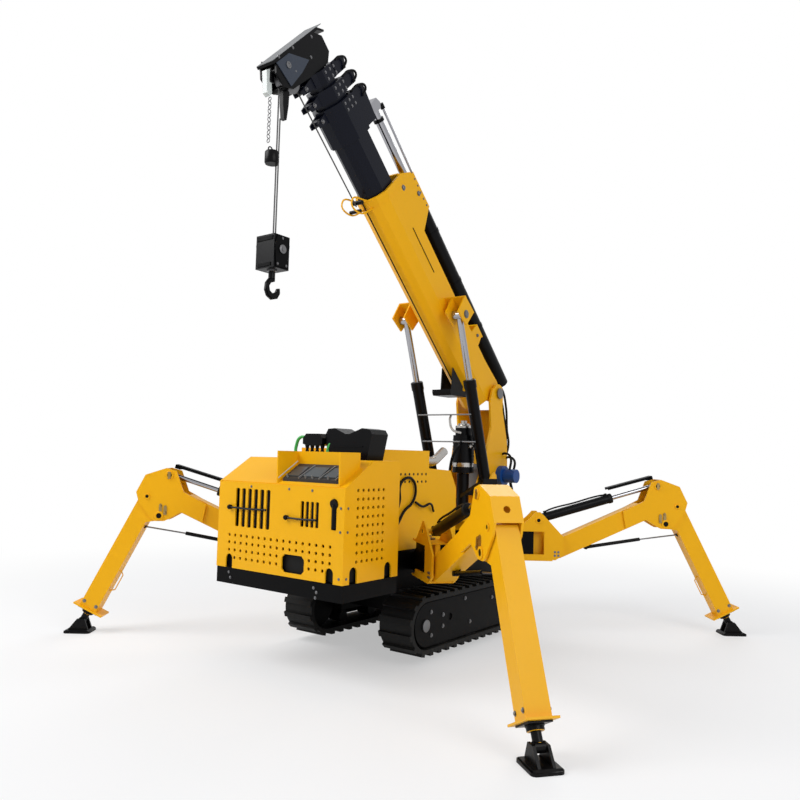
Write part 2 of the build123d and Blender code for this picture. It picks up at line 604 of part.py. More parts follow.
HOOK_OUTER = [(-26, 0), (26, 0), (60, -42), (66, -96), (44, -142), (-4, -166), (-58, -150), (-84, -108), (-80, -66)]
HOOK_INNER = [(-58, -70), (-44, -100), (-8, -116), (22, -98), (30, -66), (14, -38), (-26, -22)]
with BuildPart() as hook:
    with Locations((2080, 0, BLOCK_TOP - 345)):
        Cylinder(26, 63, align=(Align.CENTER, Align.CENTER, Align.MIN))
    for depth, inset in ((10, 0), (17, 6)):
        slab(Plane(origin=(2080, 0, BLOCK_TOP - 342), x_dir=(1, 0, 0), z_dir=(0, -1, 0)), HOOK_OUTER + HOOK_INNER,
             -depth, depth, inset)
save(hook, "hook")
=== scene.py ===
"""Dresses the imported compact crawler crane: finishes for every CAD node, fine fittings, stage and camera."""

import json
import logging
import math
from dataclasses import dataclass, field
from enum import Enum

import bmesh
import bpy
from mathutils import Matrix, Vector

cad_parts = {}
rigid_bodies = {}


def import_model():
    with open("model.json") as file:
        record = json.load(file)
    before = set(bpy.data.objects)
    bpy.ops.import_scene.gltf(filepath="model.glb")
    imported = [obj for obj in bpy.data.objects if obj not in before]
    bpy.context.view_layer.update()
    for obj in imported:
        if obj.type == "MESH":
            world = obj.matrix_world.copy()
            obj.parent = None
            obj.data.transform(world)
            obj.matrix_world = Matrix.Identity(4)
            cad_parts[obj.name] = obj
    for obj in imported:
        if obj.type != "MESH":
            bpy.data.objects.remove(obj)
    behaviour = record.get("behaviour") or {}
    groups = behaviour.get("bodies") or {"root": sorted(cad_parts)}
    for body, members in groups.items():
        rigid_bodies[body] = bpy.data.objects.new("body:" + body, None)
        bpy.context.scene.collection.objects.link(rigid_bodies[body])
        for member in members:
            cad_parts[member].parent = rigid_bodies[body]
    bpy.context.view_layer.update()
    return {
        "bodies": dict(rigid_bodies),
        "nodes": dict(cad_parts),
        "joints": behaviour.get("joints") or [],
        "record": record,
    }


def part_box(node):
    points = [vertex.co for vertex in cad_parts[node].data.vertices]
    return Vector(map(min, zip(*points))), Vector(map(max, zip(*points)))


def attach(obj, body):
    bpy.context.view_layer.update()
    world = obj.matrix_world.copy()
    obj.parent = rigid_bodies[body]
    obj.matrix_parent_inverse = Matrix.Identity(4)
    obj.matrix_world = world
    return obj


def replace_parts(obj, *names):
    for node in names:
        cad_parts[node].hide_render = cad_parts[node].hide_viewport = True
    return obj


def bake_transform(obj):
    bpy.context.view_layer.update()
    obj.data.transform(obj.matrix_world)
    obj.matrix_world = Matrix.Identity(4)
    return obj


LOG = logging.getLogger("crane")
Point = tuple[float, float, float]
Spot = tuple[float, float]
Colour = tuple[float, float, float]

FORWARD, LEFT, UP = Vector((1, 0, 0)), Vector((0, 1, 0)), Vector((0, 0, 1))
ORIGIN = Vector((0, 0, 0))
SIDES = (1, -1)
MERGE_GAP = 1e-6
BOX_ROUNDING = 0.12
SHARP_ANGLE = math.radians(35)
GRIME_COLOUR = (0.08, 0.065, 0.045, 1)
DIRT_ROUGHNESS = 0.35
RELIEF_DEPTH = 0.002
GLOSS_SHARE = 0.6

# Each lamp's name, place, aim, width and power.
LAMPS = (("key", (7.0, -4.5, 8.0), (0, 0, 1.4), 6.0, 620.0),
         ("fill", (3.5, 9.0, 6.0), (0, 0, 1.2), 6.0, 330.0),
         ("back", (-7.0, -2.0, 8.0), (0, 0, 2.0), 5.0, 220.0))
# The floor's half width, and where its own white starts and ends to take over from the shadow.
FLOOR_REACH = 60.0
FLOOR_FADE = (2.5, 8.0, 0.45, 1.0)
# The photograph's camera, solved from straight edges in it.
CAMERA_PLACE = (6.0355, 4.2328, 1.6965)
CAMERA_WAY = (-0.79751, -0.59898, 0.07212)
CAMERA_ROLL = 1.533
CAMERA_LENS = 33.94


class Corner(Enum):
    """The four outriggers, each with the name that its nodes and bodies carry."""

    FRONT_LEFT = "front_left"
    FRONT_RIGHT = "front_right"
    REAR_LEFT = "rear_left"
    REAR_RIGHT = "rear_right"


class NodeTree:
    """Adds and links nodes in one shader tree."""

    def __init__(self, tree: bpy.types.NodeTree) -> None:
        """Keeps the tree that nodes are added to.

        Args:
            tree: A material's or a group's node tree.
        """
        self.tree = tree

    def add(self, kind: str, **inputs: object) -> bpy.types.Node:
        """Adds a node and sets or links its inputs.

        Args:
            kind: The node's type name.
            inputs: Socket names with spaces written as underscores, or i and the socket's number; each
                holds a socket to link or a plain value.

        Returns:
            The new node.
        """
        node = self.tree.nodes.new(kind)
        for name, value in inputs.items():
            numbered = name[0] == "i" and name[1:].isdigit()
            socket = node.inputs[int(name[1:]) if numbered else name.replace("_", " ")]
            if isinstance(value, bpy.types.NodeSocket):
                self.tree.links.new(value, socket)
            else:
                socket.default_value = value
        return node

    def noise(self, vector: bpy.types.NodeSocket, scale: float, detail: float = 3.0,
              rough: float = 0.5) -> bpy.types.NodeSocket:
        """Adds a noise texture.

        Args:
            vector: Where the pattern is read.
            scale: Features per metre.
            detail: Octaves.
            rough: Weight of the fine octaves.

        Returns:
            The noise value.
        """
        node = self.add("ShaderNodeTexNoise", Vector=vector, Scale=scale, Detail=detail, Roughness=rough)
        return node.outputs["Fac"]

    def ramp(self, value: bpy.types.NodeSocket, low: float, high: float, start: float = 0.0,
             end: float = 1.0) -> bpy.types.NodeSocket:
        """Maps a value between two limits.

        Args:
            value: What is mapped.
            low: The value that gives start.
            high: The value that gives end.
            start: The result at and before low.
            end: The result at and past high.

        Returns:
            The mapped value.
        """
        node = self.add("ShaderNodeMapRange", Value=value, From_Min=low, From_Max=high, To_Min=start,
                        To_Max=end)
        node.interpolation_type = "SMOOTHSTEP"
        return node.outputs["Result"]

    def maths(self, kind: str, a: object, b: object) -> bpy.types.NodeSocket:
        """Adds a maths node.

        Args:
            kind: The operation.
            a: The first socket or number.
            b: The second socket or number.

        Returns:
            The result.
        """
        node = self.add("ShaderNodeMath", i0=a, i1=b)
        node.operation = kind
        return node.outputs[0]

    def mix(self, factor: object, a: object, b: object) -> bpy.types.NodeSocket:
        """Mixes two colours.

        Args:
            factor: How much of b shows.
            a: The first socket or colour.
            b: The second socket or colour.

        Returns:
            The mixed colour.
        """
        node = self.tree.nodes.new("ShaderNodeMix")
        node.data_type = "RGBA"
        for index, value in ((0, factor), (6, a), (7, b)):
            if isinstance(value, bpy.types.NodeSocket):
                self.tree.links.new(value, node.inputs[index])
            else:
                node.inputs[index].default_value = value
        return node.outputs[2]

    def direct_rays(self) -> bpy.types.NodeSocket:
        """Finds how far a ray should see a surface as plain white.

        Returns:
            One for camera and glass rays, less for rays off gloss, and zero for the rest.
        """
        path = self.add("ShaderNodeLightPath").outputs
        direct = self.maths("MAXIMUM", path["Is Camera Ray"], path["Is Transmission Ray"])
        return self.maths("MAXIMUM", direct, self.maths("MULTIPLY", path["Is Glossy Ray"], GLOSS_SHARE))


class Effects:
    """Builds the shader node groups that several finishes share."""

    def __init__(self) -> None:
        """Builds every shared effect once."""
        self.weather = self._weather()
        self.grain = self._grain()

    @staticmethod
    def _group(name: str, inputs: dict[str, tuple[str, object]],
               outputs: dict[str, str]) -> tuple[bpy.types.NodeTree, NodeTree, bpy.types.Node,
                                                 bpy.types.Node]:
        """Makes an empty shader group.

        Args:
            name: The group's name.
            inputs: Socket type and default value by name.
            outputs: Socket type by name.

        Returns:
            The group, its node adder, and its input and output nodes.
        """
        group = bpy.data.node_groups.new(name, "ShaderNodeTree")
        for socket, (kind, value) in inputs.items():
            made = group.interface.new_socket(name=socket, in_out="INPUT", socket_type=kind)
            made.default_value = value
        for socket, kind in outputs.items():
            group.interface.new_socket(name=socket, in_out="OUTPUT", socket_type=kind)
        nodes = NodeTree(group)
        return group, nodes, nodes.add("NodeGroupInput"), nodes.add("NodeGroupOutput")

    def _weather(self) -> bpy.types.NodeTree:
        """Builds the effect of tone drift, road dust near the ground and soft grime, over a base colour.

        Returns:
            The group.
        """
        group, nodes, inp, out = self._group(
            "weathered_paint",
            {"Colour": ("NodeSocketColor", (0.8, 0.5, 0.05, 1)),
             "Dust Colour": ("NodeSocketColor", (0.45, 0.4, 0.33, 1)),
             "Drift": ("NodeSocketFloat", 0.08), "Grime": ("NodeSocketFloat", 0.15),
             "Dust": ("NodeSocketFloat", 0.3),
             "Dust Height": ("NodeSocketFloat", 0.6)},
            {"Colour": "NodeSocketColor", "Mask": "NodeSocketFloat"})
        where = nodes.add("ShaderNodeTexCoord").outputs["Object"]
        broad = nodes.noise(where, 1.7, 2.0)
        fine = nodes.noise(where, 34.0, 4.0, 0.6)
        height = nodes.add("ShaderNodeSeparateXYZ", Vector=where).outputs["Z"]
        fall = nodes.maths("DIVIDE", height, inp.outputs["Dust Height"])
        low = nodes.ramp(fall, 0.0, 1.0, 1.0, 0.0)
        tone = nodes.maths("MULTIPLY", nodes.maths("SUBTRACT", broad, 0.5), inp.outputs["Drift"])
        shade = nodes.add("ShaderNodeHueSaturation", Color=inp.outputs["Colour"],
                          Value=nodes.maths("ADD", tone, 1.0))
        spots = nodes.maths("MULTIPLY", nodes.ramp(fine, 0.52, 0.78), inp.outputs["Grime"])
        dark = nodes.mix(spots, shade.outputs["Color"], GRIME_COLOUR)
        dust = nodes.maths("MULTIPLY", nodes.maths("MULTIPLY", low, inp.outputs["Dust"]),
                           nodes.ramp(fine, 0.3, 0.62))
        nodes.tree.links.new(nodes.mix(dust, dark, inp.outputs["Dust Colour"]), out.inputs["Colour"])
        nodes.tree.links.new(nodes.maths("MAXIMUM", dust, spots), out.inputs["Mask"])
        return group

    def _grain(self) -> bpy.types.NodeTree:
        """Builds a fine surface height and a roughness wobble, as of sprayed paint or moulded rubber.

        Returns:
            The group.
        """
        group, nodes, inp, out = self._group(
            "surface_grain",
            {"Scale": ("NodeSocketFloat", 400.0), "Smear Scale": ("NodeSocketFloat", 9.0),
             "Roughness": ("NodeSocketFloat", 0.4),
             "Spread": ("NodeSocketFloat", 0.1)},
            {"Height": "NodeSocketFloat", "Roughness": "NodeSocketFloat"})
        where = nodes.add("ShaderNodeTexCoord").outputs["Object"]
        fine = nodes.add("ShaderNodeTexNoise", Vector=where, Scale=inp.outputs["Scale"],
                         Detail=2.0).outputs["Fac"]
        smear = nodes.add("ShaderNodeTexNoise", Vector=where, Scale=inp.outputs["Smear Scale"],
                          Detail=4.0).outputs["Fac"]
        wobble = nodes.maths("MULTIPLY", nodes.maths("SUBTRACT", smear, 0.5), inp.outputs["Spread"])
        nodes.tree.links.new(fine, out.inputs["Height"])
        nodes.tree.links.new(nodes.maths("ADD", wobble, inp.outputs["Roughness"]), out.inputs["Roughness"])
        return group


@dataclass(frozen=True)
class Finish:
    """One surface finish, as a painter or moulder would specify it."""

    name: str
    colour: Colour
    roughness: float = 0.4
    spread: float = 0.12
    metal: float = 0.0
    drift: float = 0.08
    grime: float = 0.1
    dust: float = 0.2
    dust_height: float = 0.5
    grain: float = 400.0
    relief: float = 0.02
    specular: float = 0.5
    slot: str = "black_paint"

    def material(self, effects: Effects) -> bpy.types.Material:
        """Makes the finish's material.

        Args:
            effects: The shared shader groups.

        Returns:
            The material.
        """
        made = bpy.data.materials.new(self.name)
        made.use_nodes = True
        made.diffuse_color = (*self.colour, 1)
        made.node_tree.nodes.clear()
        nodes = NodeTree(made.node_tree)
        weather = nodes.add("ShaderNodeGroup")
        weather.node_tree = effects.weather
        for socket, value in (("Colour", (*self.colour, 1)), ("Drift", self.drift), ("Grime", self.grime),
                              ("Dust", self.dust), ("Dust Height", self.dust_height)):
            weather.inputs[socket].default_value = value
        grain = nodes.add("ShaderNodeGroup")
        grain.node_tree = effects.grain
        for socket, value in (("Scale", self.grain), ("Roughness", self.roughness), ("Spread", self.spread)):
            grain.inputs[socket].default_value = value
        rough = nodes.maths("ADD", grain.outputs["Roughness"],
                            nodes.maths("MULTIPLY", weather.outputs["Mask"], DIRT_ROUGHNESS))
        bump = nodes.add("ShaderNodeBump", Height=grain.outputs["Height"], Strength=self.relief,
                         Distance=RELIEF_DEPTH)
        shader = nodes.add("ShaderNodeBsdfPrincipled", Base_Color=weather.outputs["Colour"], Roughness=rough,
                           Metallic=self.metal, Normal=bump.outputs["Normal"],
                           Specular_IOR_Level=self.specular)
        nodes.add("ShaderNodeOutputMaterial", Surface=shader.outputs["BSDF"])
        return made


class Paint(Enum):
    """Every finish on the machine."""

    YELLOW = Finish("yellow_gloss", (0.90, 0.45, 0.004), 0.36, 0.10, drift=0.07, grime=0.03, dust=0.05,
                    dust_height=0.3, specular=0.18, slot="yellow_paint")
    BLACK = Finish("black_satin", (0.002, 0.002, 0.0025), 0.32, 0.14, grime=0.0, dust=0.01, specular=0.12,
                   slot="black_paint")
    FRAME = Finish("frame_black", (0.002, 0.002, 0.0022), 0.46, 0.16, dust=0.01, grime=0.0, specular=0.07,
                   slot="frame_black_paint")
    NAVY = Finish("section_navy", (0.002, 0.003, 0.009), 0.26, 0.08, grime=0.0, dust=0.0, specular=0.16,
                  slot="dark_blue_paint")
    SLATE = Finish("slate_plate", (0.035, 0.045, 0.065), 0.3, specular=0.3, slot="dark_blue_paint")
    MOTOR_BLUE = Finish("motor_blue", (0.008, 0.065, 0.27), 0.38, specular=0.3, slot="motor_blue_paint")
    STEEL = Finish("worn_steel", (0.20, 0.20, 0.205), 0.38, 0.2, metal=1.0, grime=0.2, dust=0.05,
                   slot="steel")
    BRASS = Finish("keeper_brass", (0.36, 0.25, 0.10), 0.36, 0.2, metal=1.0, grime=0.2, dust=0.0,
                   slot="steel")
    BRIGHT = Finish("bright_pipe", (0.52, 0.50, 0.47), 0.26, 0.14, metal=1.0, grime=0.2, dust=0.0,
                    slot="exhaust_steel")
    ROPE = Finish("wire_rope", (0.09, 0.09, 0.09), 0.5, 0.1, metal=0.8, relief=0.2, grain=900,
                  slot="rope_steel")
    CHROME = Finish("rod_chrome", (0.40, 0.40, 0.42), 0.16, 0.06, metal=1.0, drift=0.0, grime=0.0, dust=0.0,
                    slot="chrome")
    RUBBER = Finish("track_rubber", (0.004, 0.004, 0.004), 0.6, 0.15, dust=0.02, grime=0.01, grain=220,
                    relief=0.2,
                    specular=0.2, slot="track_rubber")
    GREEN = Finish("strap_green", (0.04, 0.42, 0.07), 0.55, slot="")
    PALE = Finish("pale_fitting", (0.62, 0.66, 0.63), 0.4, slot="")
    SCREEN = Finish("screen_glass", (0.06, 0.07, 0.075), 0.2, grime=0.0, dust=0.0, specular=0.3, slot="")
    GREY = Finish("cast_grey", (0.17, 0.175, 0.18), 0.42, metal=0.3, slot="")
    PANEL = Finish("panel_grey", (0.035, 0.03, 0.026), 0.5, specular=0.2, slot="panel_plastic")


NODE_PAINT: dict[str, Paint] = {
    "chassis_frame": Paint.FRAME, "hood_front": Paint.YELLOW, "hood_sides": Paint.YELLOW,
                                "hood_roof": Paint.YELLOW,
    "control_panel": Paint.PANEL, "engine_block": Paint.BLACK, "house": Paint.YELLOW,
                                "exhaust_elbow": Paint.BRIGHT,
    "track_left": Paint.RUBBER, "track_right": Paint.RUBBER, "track_frames": Paint.FRAME,
                                "track_wheels": Paint.FRAME,
    "turntable": Paint.YELLOW, "column": Paint.YELLOW, "winch": Paint.STEEL, "winch_motor": Paint.MOTOR_BLUE,
    "slew_drive": Paint.BLACK, "boom_base": Paint.YELLOW, "telescope_barrel": Paint.BLACK,
    "boom_section_2": Paint.NAVY, "boom_section_3": Paint.NAVY, "boom_section_4": Paint.NAVY,
    "telescope_rod": Paint.CHROME, "boom_tip": Paint.BLACK, "head_sheave": Paint.STEEL,
                                "lift_barrels": Paint.BLACK,
    "lift_rods": Paint.CHROME, "hoist_rope": Paint.ROPE, "hook_block": Paint.BLACK, "hook": Paint.BLACK}
for _corner in Corner:
    NODE_PAINT |= {f"bracket_{_corner.value}": Paint.YELLOW, f"arm_{_corner.value}": Paint.YELLOW,
                   f"leg_{_corner.value}": Paint.YELLOW, f"jack_barrel_{_corner.value}": Paint.BLACK,
                   f"jack_rod_{_corner.value}": Paint.CHROME, f"foot_{_corner.value}": Paint.BLACK}


class Shop:
    """Holds the machine's materials and puts them on nodes and pieces."""

    def __init__(self) -> None:
        """Makes every finish once."""
        effects = Effects()
        self.materials = {paint: paint.value.material(effects) for paint in Paint}

    def coat_nodes(self, nodes: dict[str, bpy.types.Object]) -> None:
        """Gives every CAD node its finish.

        Args:
            nodes: The frame's objects by name.
        """
        for name, obj in nodes.items():
            for slot in obj.material_slots:
                slot.material = self.materials[NODE_PAINT[name]]


@dataclass(frozen=True)
class Frame:
    """A flat working plane: a place, the way right in it and the way up in it."""

    origin: Vector
    right: Vector
    up: Vector

    @property
    def out(self) -> Vector:
        """Gives the way out of the plane."""
        return self.right.cross(self.up)

    def at(self, across: float, up: float, out: float = 0.0) -> Vector:
        """Finds a point by its distances in the plane.

        Args:
            across: Distance to the right.
            up: Distance upwards.
            out: Distance out of the plane.

        Returns:
            The point in the crane's frame.
        """
        return self.origin + self.right * across + self.up * up + self.out * out

    def matrix(self) -> Matrix:
        """Gives the transform from this plane's own axes to the crane's frame."""
        turn = Matrix((self.right, self.up, self.out)).transposed().to_4x4()
        return Matrix.Translation(self.origin) @ turn


@dataclass
class Piece:
    """One joined mesh of fittings that rides on one body."""

    name: str
    paint: Paint
    body: str
    mesh: bmesh.types.BMesh = field(default_factory=bmesh.new)

    def take(self, drawn: bmesh.types.BMesh, matrix: Matrix) -> None:
        """Sets a drawn shape in its place and joins it to the piece.

        Args:
            drawn: The shape, which is used up.
            matrix: The transform to its place.
        """
        bmesh.ops.remove_doubles(drawn, verts=drawn.verts, dist=MERGE_GAP)
        bmesh.ops.transform(drawn, matrix=matrix, verts=drawn.verts)
        mesh = bpy.data.meshes.new("drawn_shape")
        drawn.to_mesh(mesh)
        drawn.free()
        self.mesh.from_mesh(mesh)
        bpy.data.meshes.remove(mesh)

    def take_curve(self, curve: bpy.types.Curve, matrix: Matrix) -> None:
        """Turns a drawn curve into a mesh and joins it to the piece.

        Args:
            curve: The curve, which is used up.
            matrix: The transform to its place.
        """
        drawn = bpy.data.objects.new("drawn_curve", curve)
        bpy.context.scene.collection.objects.link(drawn)
        mesh = bpy.data.meshes.new_from_object(drawn.evaluated_get(bpy.context.evaluated_depsgraph_get()))
        mesh.transform(matrix)
        self.mesh.from_mesh(mesh)
        bpy.data.objects.remove(drawn)
        bpy.data.curves.remove(curve)
        bpy.data.meshes.remove(mesh)

    def plate(self, frame: Frame, outline: list[Spot], low: float, high: float) -> None:
        """Adds a plate with a straight-edged outline.

        Args:
            frame: The plane that the outline lies in.
            outline: Corners in the plane.
            low: One face's distance along the plane's way out.
            high: The other face's.
        """
        low, high = sorted((low, high))
        drawn = bmesh.new()
        face = drawn.faces.new([drawn.verts.new((x, y, low)) for x, y in outline])
        grown = bmesh.ops.extrude_face_region(drawn, geom=[face])["geom"]
        lifted = [part for part in grown if isinstance(part, bmesh.types.BMVert)]
        bmesh.ops.translate(drawn, verts=lifted, vec=(0, 0, high - low))
        self.take(drawn, frame.matrix())

    def box(self, low: Point, high: Point) -> None:
        """Adds a block between two corners, with its upright edges a little rounded.

        Args:
            low: The lowest corner.
            high: The highest corner.
        """
        size = Vector(high) - Vector(low)
        drawn = bmesh.new()
        bmesh.ops.create_cube(drawn, size=1.0, matrix=Matrix.Diagonal((*size, 1)))
        upright = [edge for edge in drawn.edges if abs(edge.verts[0].co.z - edge.verts[1].co.z) > MERGE_GAP]
        bmesh.ops.bevel(drawn, geom=upright, offset=min(size.x, size.y) * BOX_ROUNDING, affect="EDGES",
                        segments=2,
                        profile=0.5, material=-1)
        self.take(drawn, Matrix.Translation((Vector(low) + Vector(high)) / 2))

    @staticmethod
    def aim(start: Vector, axis: Vector) -> Matrix:
        """Finds the transform that stands a shape on a point with its own Z along an axis.

        Args:
            start: The point.
            axis: The axis's direction.

        Returns:
            The transform.
        """
        return Matrix.Translation(start) @ axis.to_track_quat("Z", "Y").to_matrix().to_4x4()

    def lathe(self, start: Vector, axis: Vector, profile: list[Spot], sides: int = 20) -> None:
        """Spins a profile into a round body along an axis.

        Args:
            start: Where the axis starts.
            axis: The axis's direction.
            profile: Pairs of distance along the axis and radius.
            sides: Points round each ring.
        """
        drawn = bmesh.new()
        line = [drawn.verts.new((radius, 0, along)) for along, radius in profile]
        line = [drawn.verts.new((0, 0, profile[0][0])), *line, drawn.verts.new((0, 0, profile[-1][0]))]
        edges = [drawn.edges.new(pair) for pair in zip(line, line[1:])]
        bmesh.ops.spin(drawn, geom=line + edges, cent=(0, 0, 0), axis=(0, 0, 1), angle=2 * math.pi,
                       steps=sides,
                       use_merge=True)
        self.take(drawn, self.aim(start, axis))

    def bar(self, start: Vector, end: Vector, radius: float, sides: int = 16, tip: float = 1.0) -> None:
        """Adds a round bar between two points.

        Args:
            start: One end.
            end: The other end.
            radius: The bar's radius.
            sides: Points round it.
            tip: The far end's radius over the near end's.
        """
        drawn = bmesh.new()
        bmesh.ops.create_cone(drawn, cap_ends=True, segments=sides, radius1=radius, radius2=radius * tip,
                              depth=(end - start).length)
        self.take(drawn, self.aim((start + end) / 2, end - start))

    def bolt(self, at: Vector, axis: Vector, size: float = 0.012) -> None:
        """Adds a washer and a hexagonal head.

        Args:
            at: Where the bolt meets its surface.
            axis: The way out of the surface.
            size: The head's radius.
        """
        way = axis.normalized()
        self.bar(at - way * 0.002, at + way * size * 0.25, size * 1.5, 12)
        self.bar(at, at + way * size * 0.75, size, 6)
        self.bar(at + way * size * 0.75, at + way * size * 0.9, size, 6, 0.8)

    def pin(self, at: Vector, axis: Vector, radius: float) -> None:
        """Adds a pin's head on its washer.

        Args:
            at: The pin's centre where it leaves its cheek.
            axis: The way out.
            radius: The pin's own radius.
        """
        way = axis.normalized()
        profile = [(0, radius * 1.35), (0.007, radius * 1.35), (0.008, radius), (0.014, radius),
                   (0.018, radius * 0.8)]
        self.lathe(at - way * 0.002, way, profile, 24)

    def boss(self, at: Vector, axis: Vector, radius: float) -> None:
        """Adds a flat ring with a sunk middle.

        Args:
            at: The ring's centre on its cheek.
            axis: The way out.
            radius: The ring's outer radius.
        """
        way = axis.normalized()
        profile = [(0, radius), (0.009, radius), (0.011, radius * 0.93), (0.011, radius * 0.62),
                   (0.004, radius * 0.56)]
        self.lathe(at - way * 0.002, way, profile, 24)

    def pipe(self, points: list[Vector | Point], radius: float, base: Vector = ORIGIN) -> None:
        """Adds a hose or bent tube that passes smoothly through points.

        Args:
            points: Points along the middle line, two or more.
            radius: The hose's radius.
            base: The place that the points are measured from.
        """
        curve = bpy.data.curves.new("drawn_pipe", "CURVE")
        curve.dimensions, curve.resolution_u, curve.use_fill_caps = "3D", 6, True
        curve.bevel_depth, curve.bevel_resolution = radius, 1
        spline = curve.splines.new("BEZIER")
        spline.bezier_points.add(len(points) - 1)
        for knot, point in zip(spline.bezier_points, points):
            knot.co = base + Vector(point)
            knot.handle_left_type = knot.handle_right_type = "AUTO"
        self.take_curve(curve, Matrix.Identity(4))

    def hoop(self, centre: Vector, axis: Vector, radius: float, wire: float, sides: int = 20) -> None:
        """Adds a closed ring of round wire.

        Args:
            centre: The ring's centre.
            axis: The ring's axis.
            radius: From the centre to the wire's middle.
            wire: The wire's radius.
            sides: Stations round the ring.
        """
        drawn = bmesh.new()
        stand = Matrix.Translation((radius, 0, 0)) @ Matrix.Rotation(math.pi / 2, 4, "X")
        bmesh.ops.create_circle(drawn, segments=8, radius=wire, matrix=stand)
        bmesh.ops.spin(drawn, geom=drawn.verts[:] + drawn.edges[:], cent=(0, 0, 0), axis=(0, 0, 1),
                       angle=2 * math.pi,
                       steps=sides, use_merge=True)
        self.take(drawn, self.aim(centre, axis))

    def add_sheet(self, frame: Frame, outline: list[Spot], holes: list[list[Spot]],
                  thick: float) -> None:
        """Adds a punched sheet, centred on its plane.

        Args:
            frame: The plane that the sheet lies in.
            outline: The sheet's edge.
            holes: The edges of its holes.
            thick: The sheet's thickness.
        """
        curve = bpy.data.curves.new("drawn_sheet", "CURVE")
        curve.dimensions, curve.fill_mode, curve.extrude = "2D", "BOTH", thick / 2
        for loop in (outline, *holes):
            spline = curve.splines.new("POLY")
            spline.points.add(len(loop) - 1)
            for point, (x, y) in zip(spline.points, loop):
                point.co = (x, y, 0, 1)
            spline.use_cyclic_u = True
        self.take_curve(curve, frame.matrix())

    def done(self, shop: Shop) -> bpy.types.Object:
        """Turns the mesh into an object that rides on its body.

        Args:
            shop: The machine's materials.

        Returns:
            The finished piece.
        """
        bmesh.ops.remove_doubles(self.mesh, verts=self.mesh.verts, dist=MERGE_GAP)
        bmesh.ops.recalc_face_normals(self.mesh, faces=self.mesh.faces)
        mesh = bpy.data.meshes.new(self.name)
        self.mesh.to_mesh(mesh)
        self.mesh.free()
        mesh.shade_smooth()
        mesh.set_sharp_from_angle(angle=SHARP_ANGLE)
        mesh.materials.append(shop.materials[self.paint])
        obj = bpy.data.objects.new(self.name, mesh)
        bpy.context.scene.collection.objects.link(obj)
        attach(obj, self.body)
        return obj

    def done_between(self, shop: Shop) -> None:
        """Turns the mesh into an object fixed where it stands, held by no body.

        Args:
            shop: The machine's materials.
        """
        made = self.done(shop)
        made.parent = None
        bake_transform(made)


def round_hole(x: float, y: float, radius: float, sides: int = 12) -> list[Spot]:
    """Draws a round hole's edge.

    Args:
        x: The centre's distance across.
        y: The centre's height.
        radius: The hole's radius.
        sides: Points round it.

    Returns:
        The edge.
    """
    return [(x + radius * math.cos(a), y + radius * math.sin(a))
            for a in (2 * math.pi * i / sides for i in range(sides))]


def slot_hole(x: float, y: float, width: float, height: float) -> list[Spot]:
    """Draws an upright slot's edge with small cut corners.

    Args:
        x: The centre's distance across.
        y: The centre's height.
        width: The slot's width.
        height: The slot's height.

    Returns:
        The edge.
    """
    w, h, c = width / 2, height / 2, min(width, height) * 0.2
    return [(x - w + c, y - h), (x + w - c, y - h), (x + w, y - h + c), (x + w, y + h - c),
            (x + w - c, y + h),
            (x - w + c, y + h), (x - w, y + h - c), (x - w, y - h + c)]


def arch_notch(x: float, foot: float, half: float, spring: float) -> list[Spot]:
    """Draws a round-topped notch in a sheet's lower edge, from left to right.

    Args:
        x: The notch's middle.
        foot: The height of the sheet's edge.
        half: Half the notch's width.
        spring: Where its round top starts.

    Returns:
        The notch's edge.
    """
    top = [(x - half * math.cos(a), spring + half * math.sin(a))
           for a in (math.pi * i / 10 for i in range(11))]
    return [(x - half, foot), *top, (x + half, foot)]


class Rig:
    """Pins and working planes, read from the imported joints."""

    def __init__(self, joints: list[dict]) -> None:
        """Reads the joints.

        Args:
            joints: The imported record's joints.
        """
        self.pins: dict[str, Vector] = {joint["name"]: Vector(joint["pos_m"])
                                        for joint in joints if "pos_m" in joint}
        along = Vector(next(joint["axis"] for joint in joints if joint["name"] == "extend_2")).normalized()
        self.boom = Frame(self.pins["luff"], along, Vector((-along.z, 0, along.x)))

    def spread(self, corner: Corner) -> Frame:
        """Finds the upright plane of one outrigger, with its origin on the ground under the post.

        Args:
            corner: The outrigger.

        Returns:
            The plane; right is outwards and up is up.
        """
        post = self.pins[f"{corner.value}_post_swing"]
        run = self.pins[f"{corner.value}_foot_tilt"] - post
        return Frame(Vector((post.x, post.y, 0)), Vector((run.x, run.y, 0)).normalized(), UP)


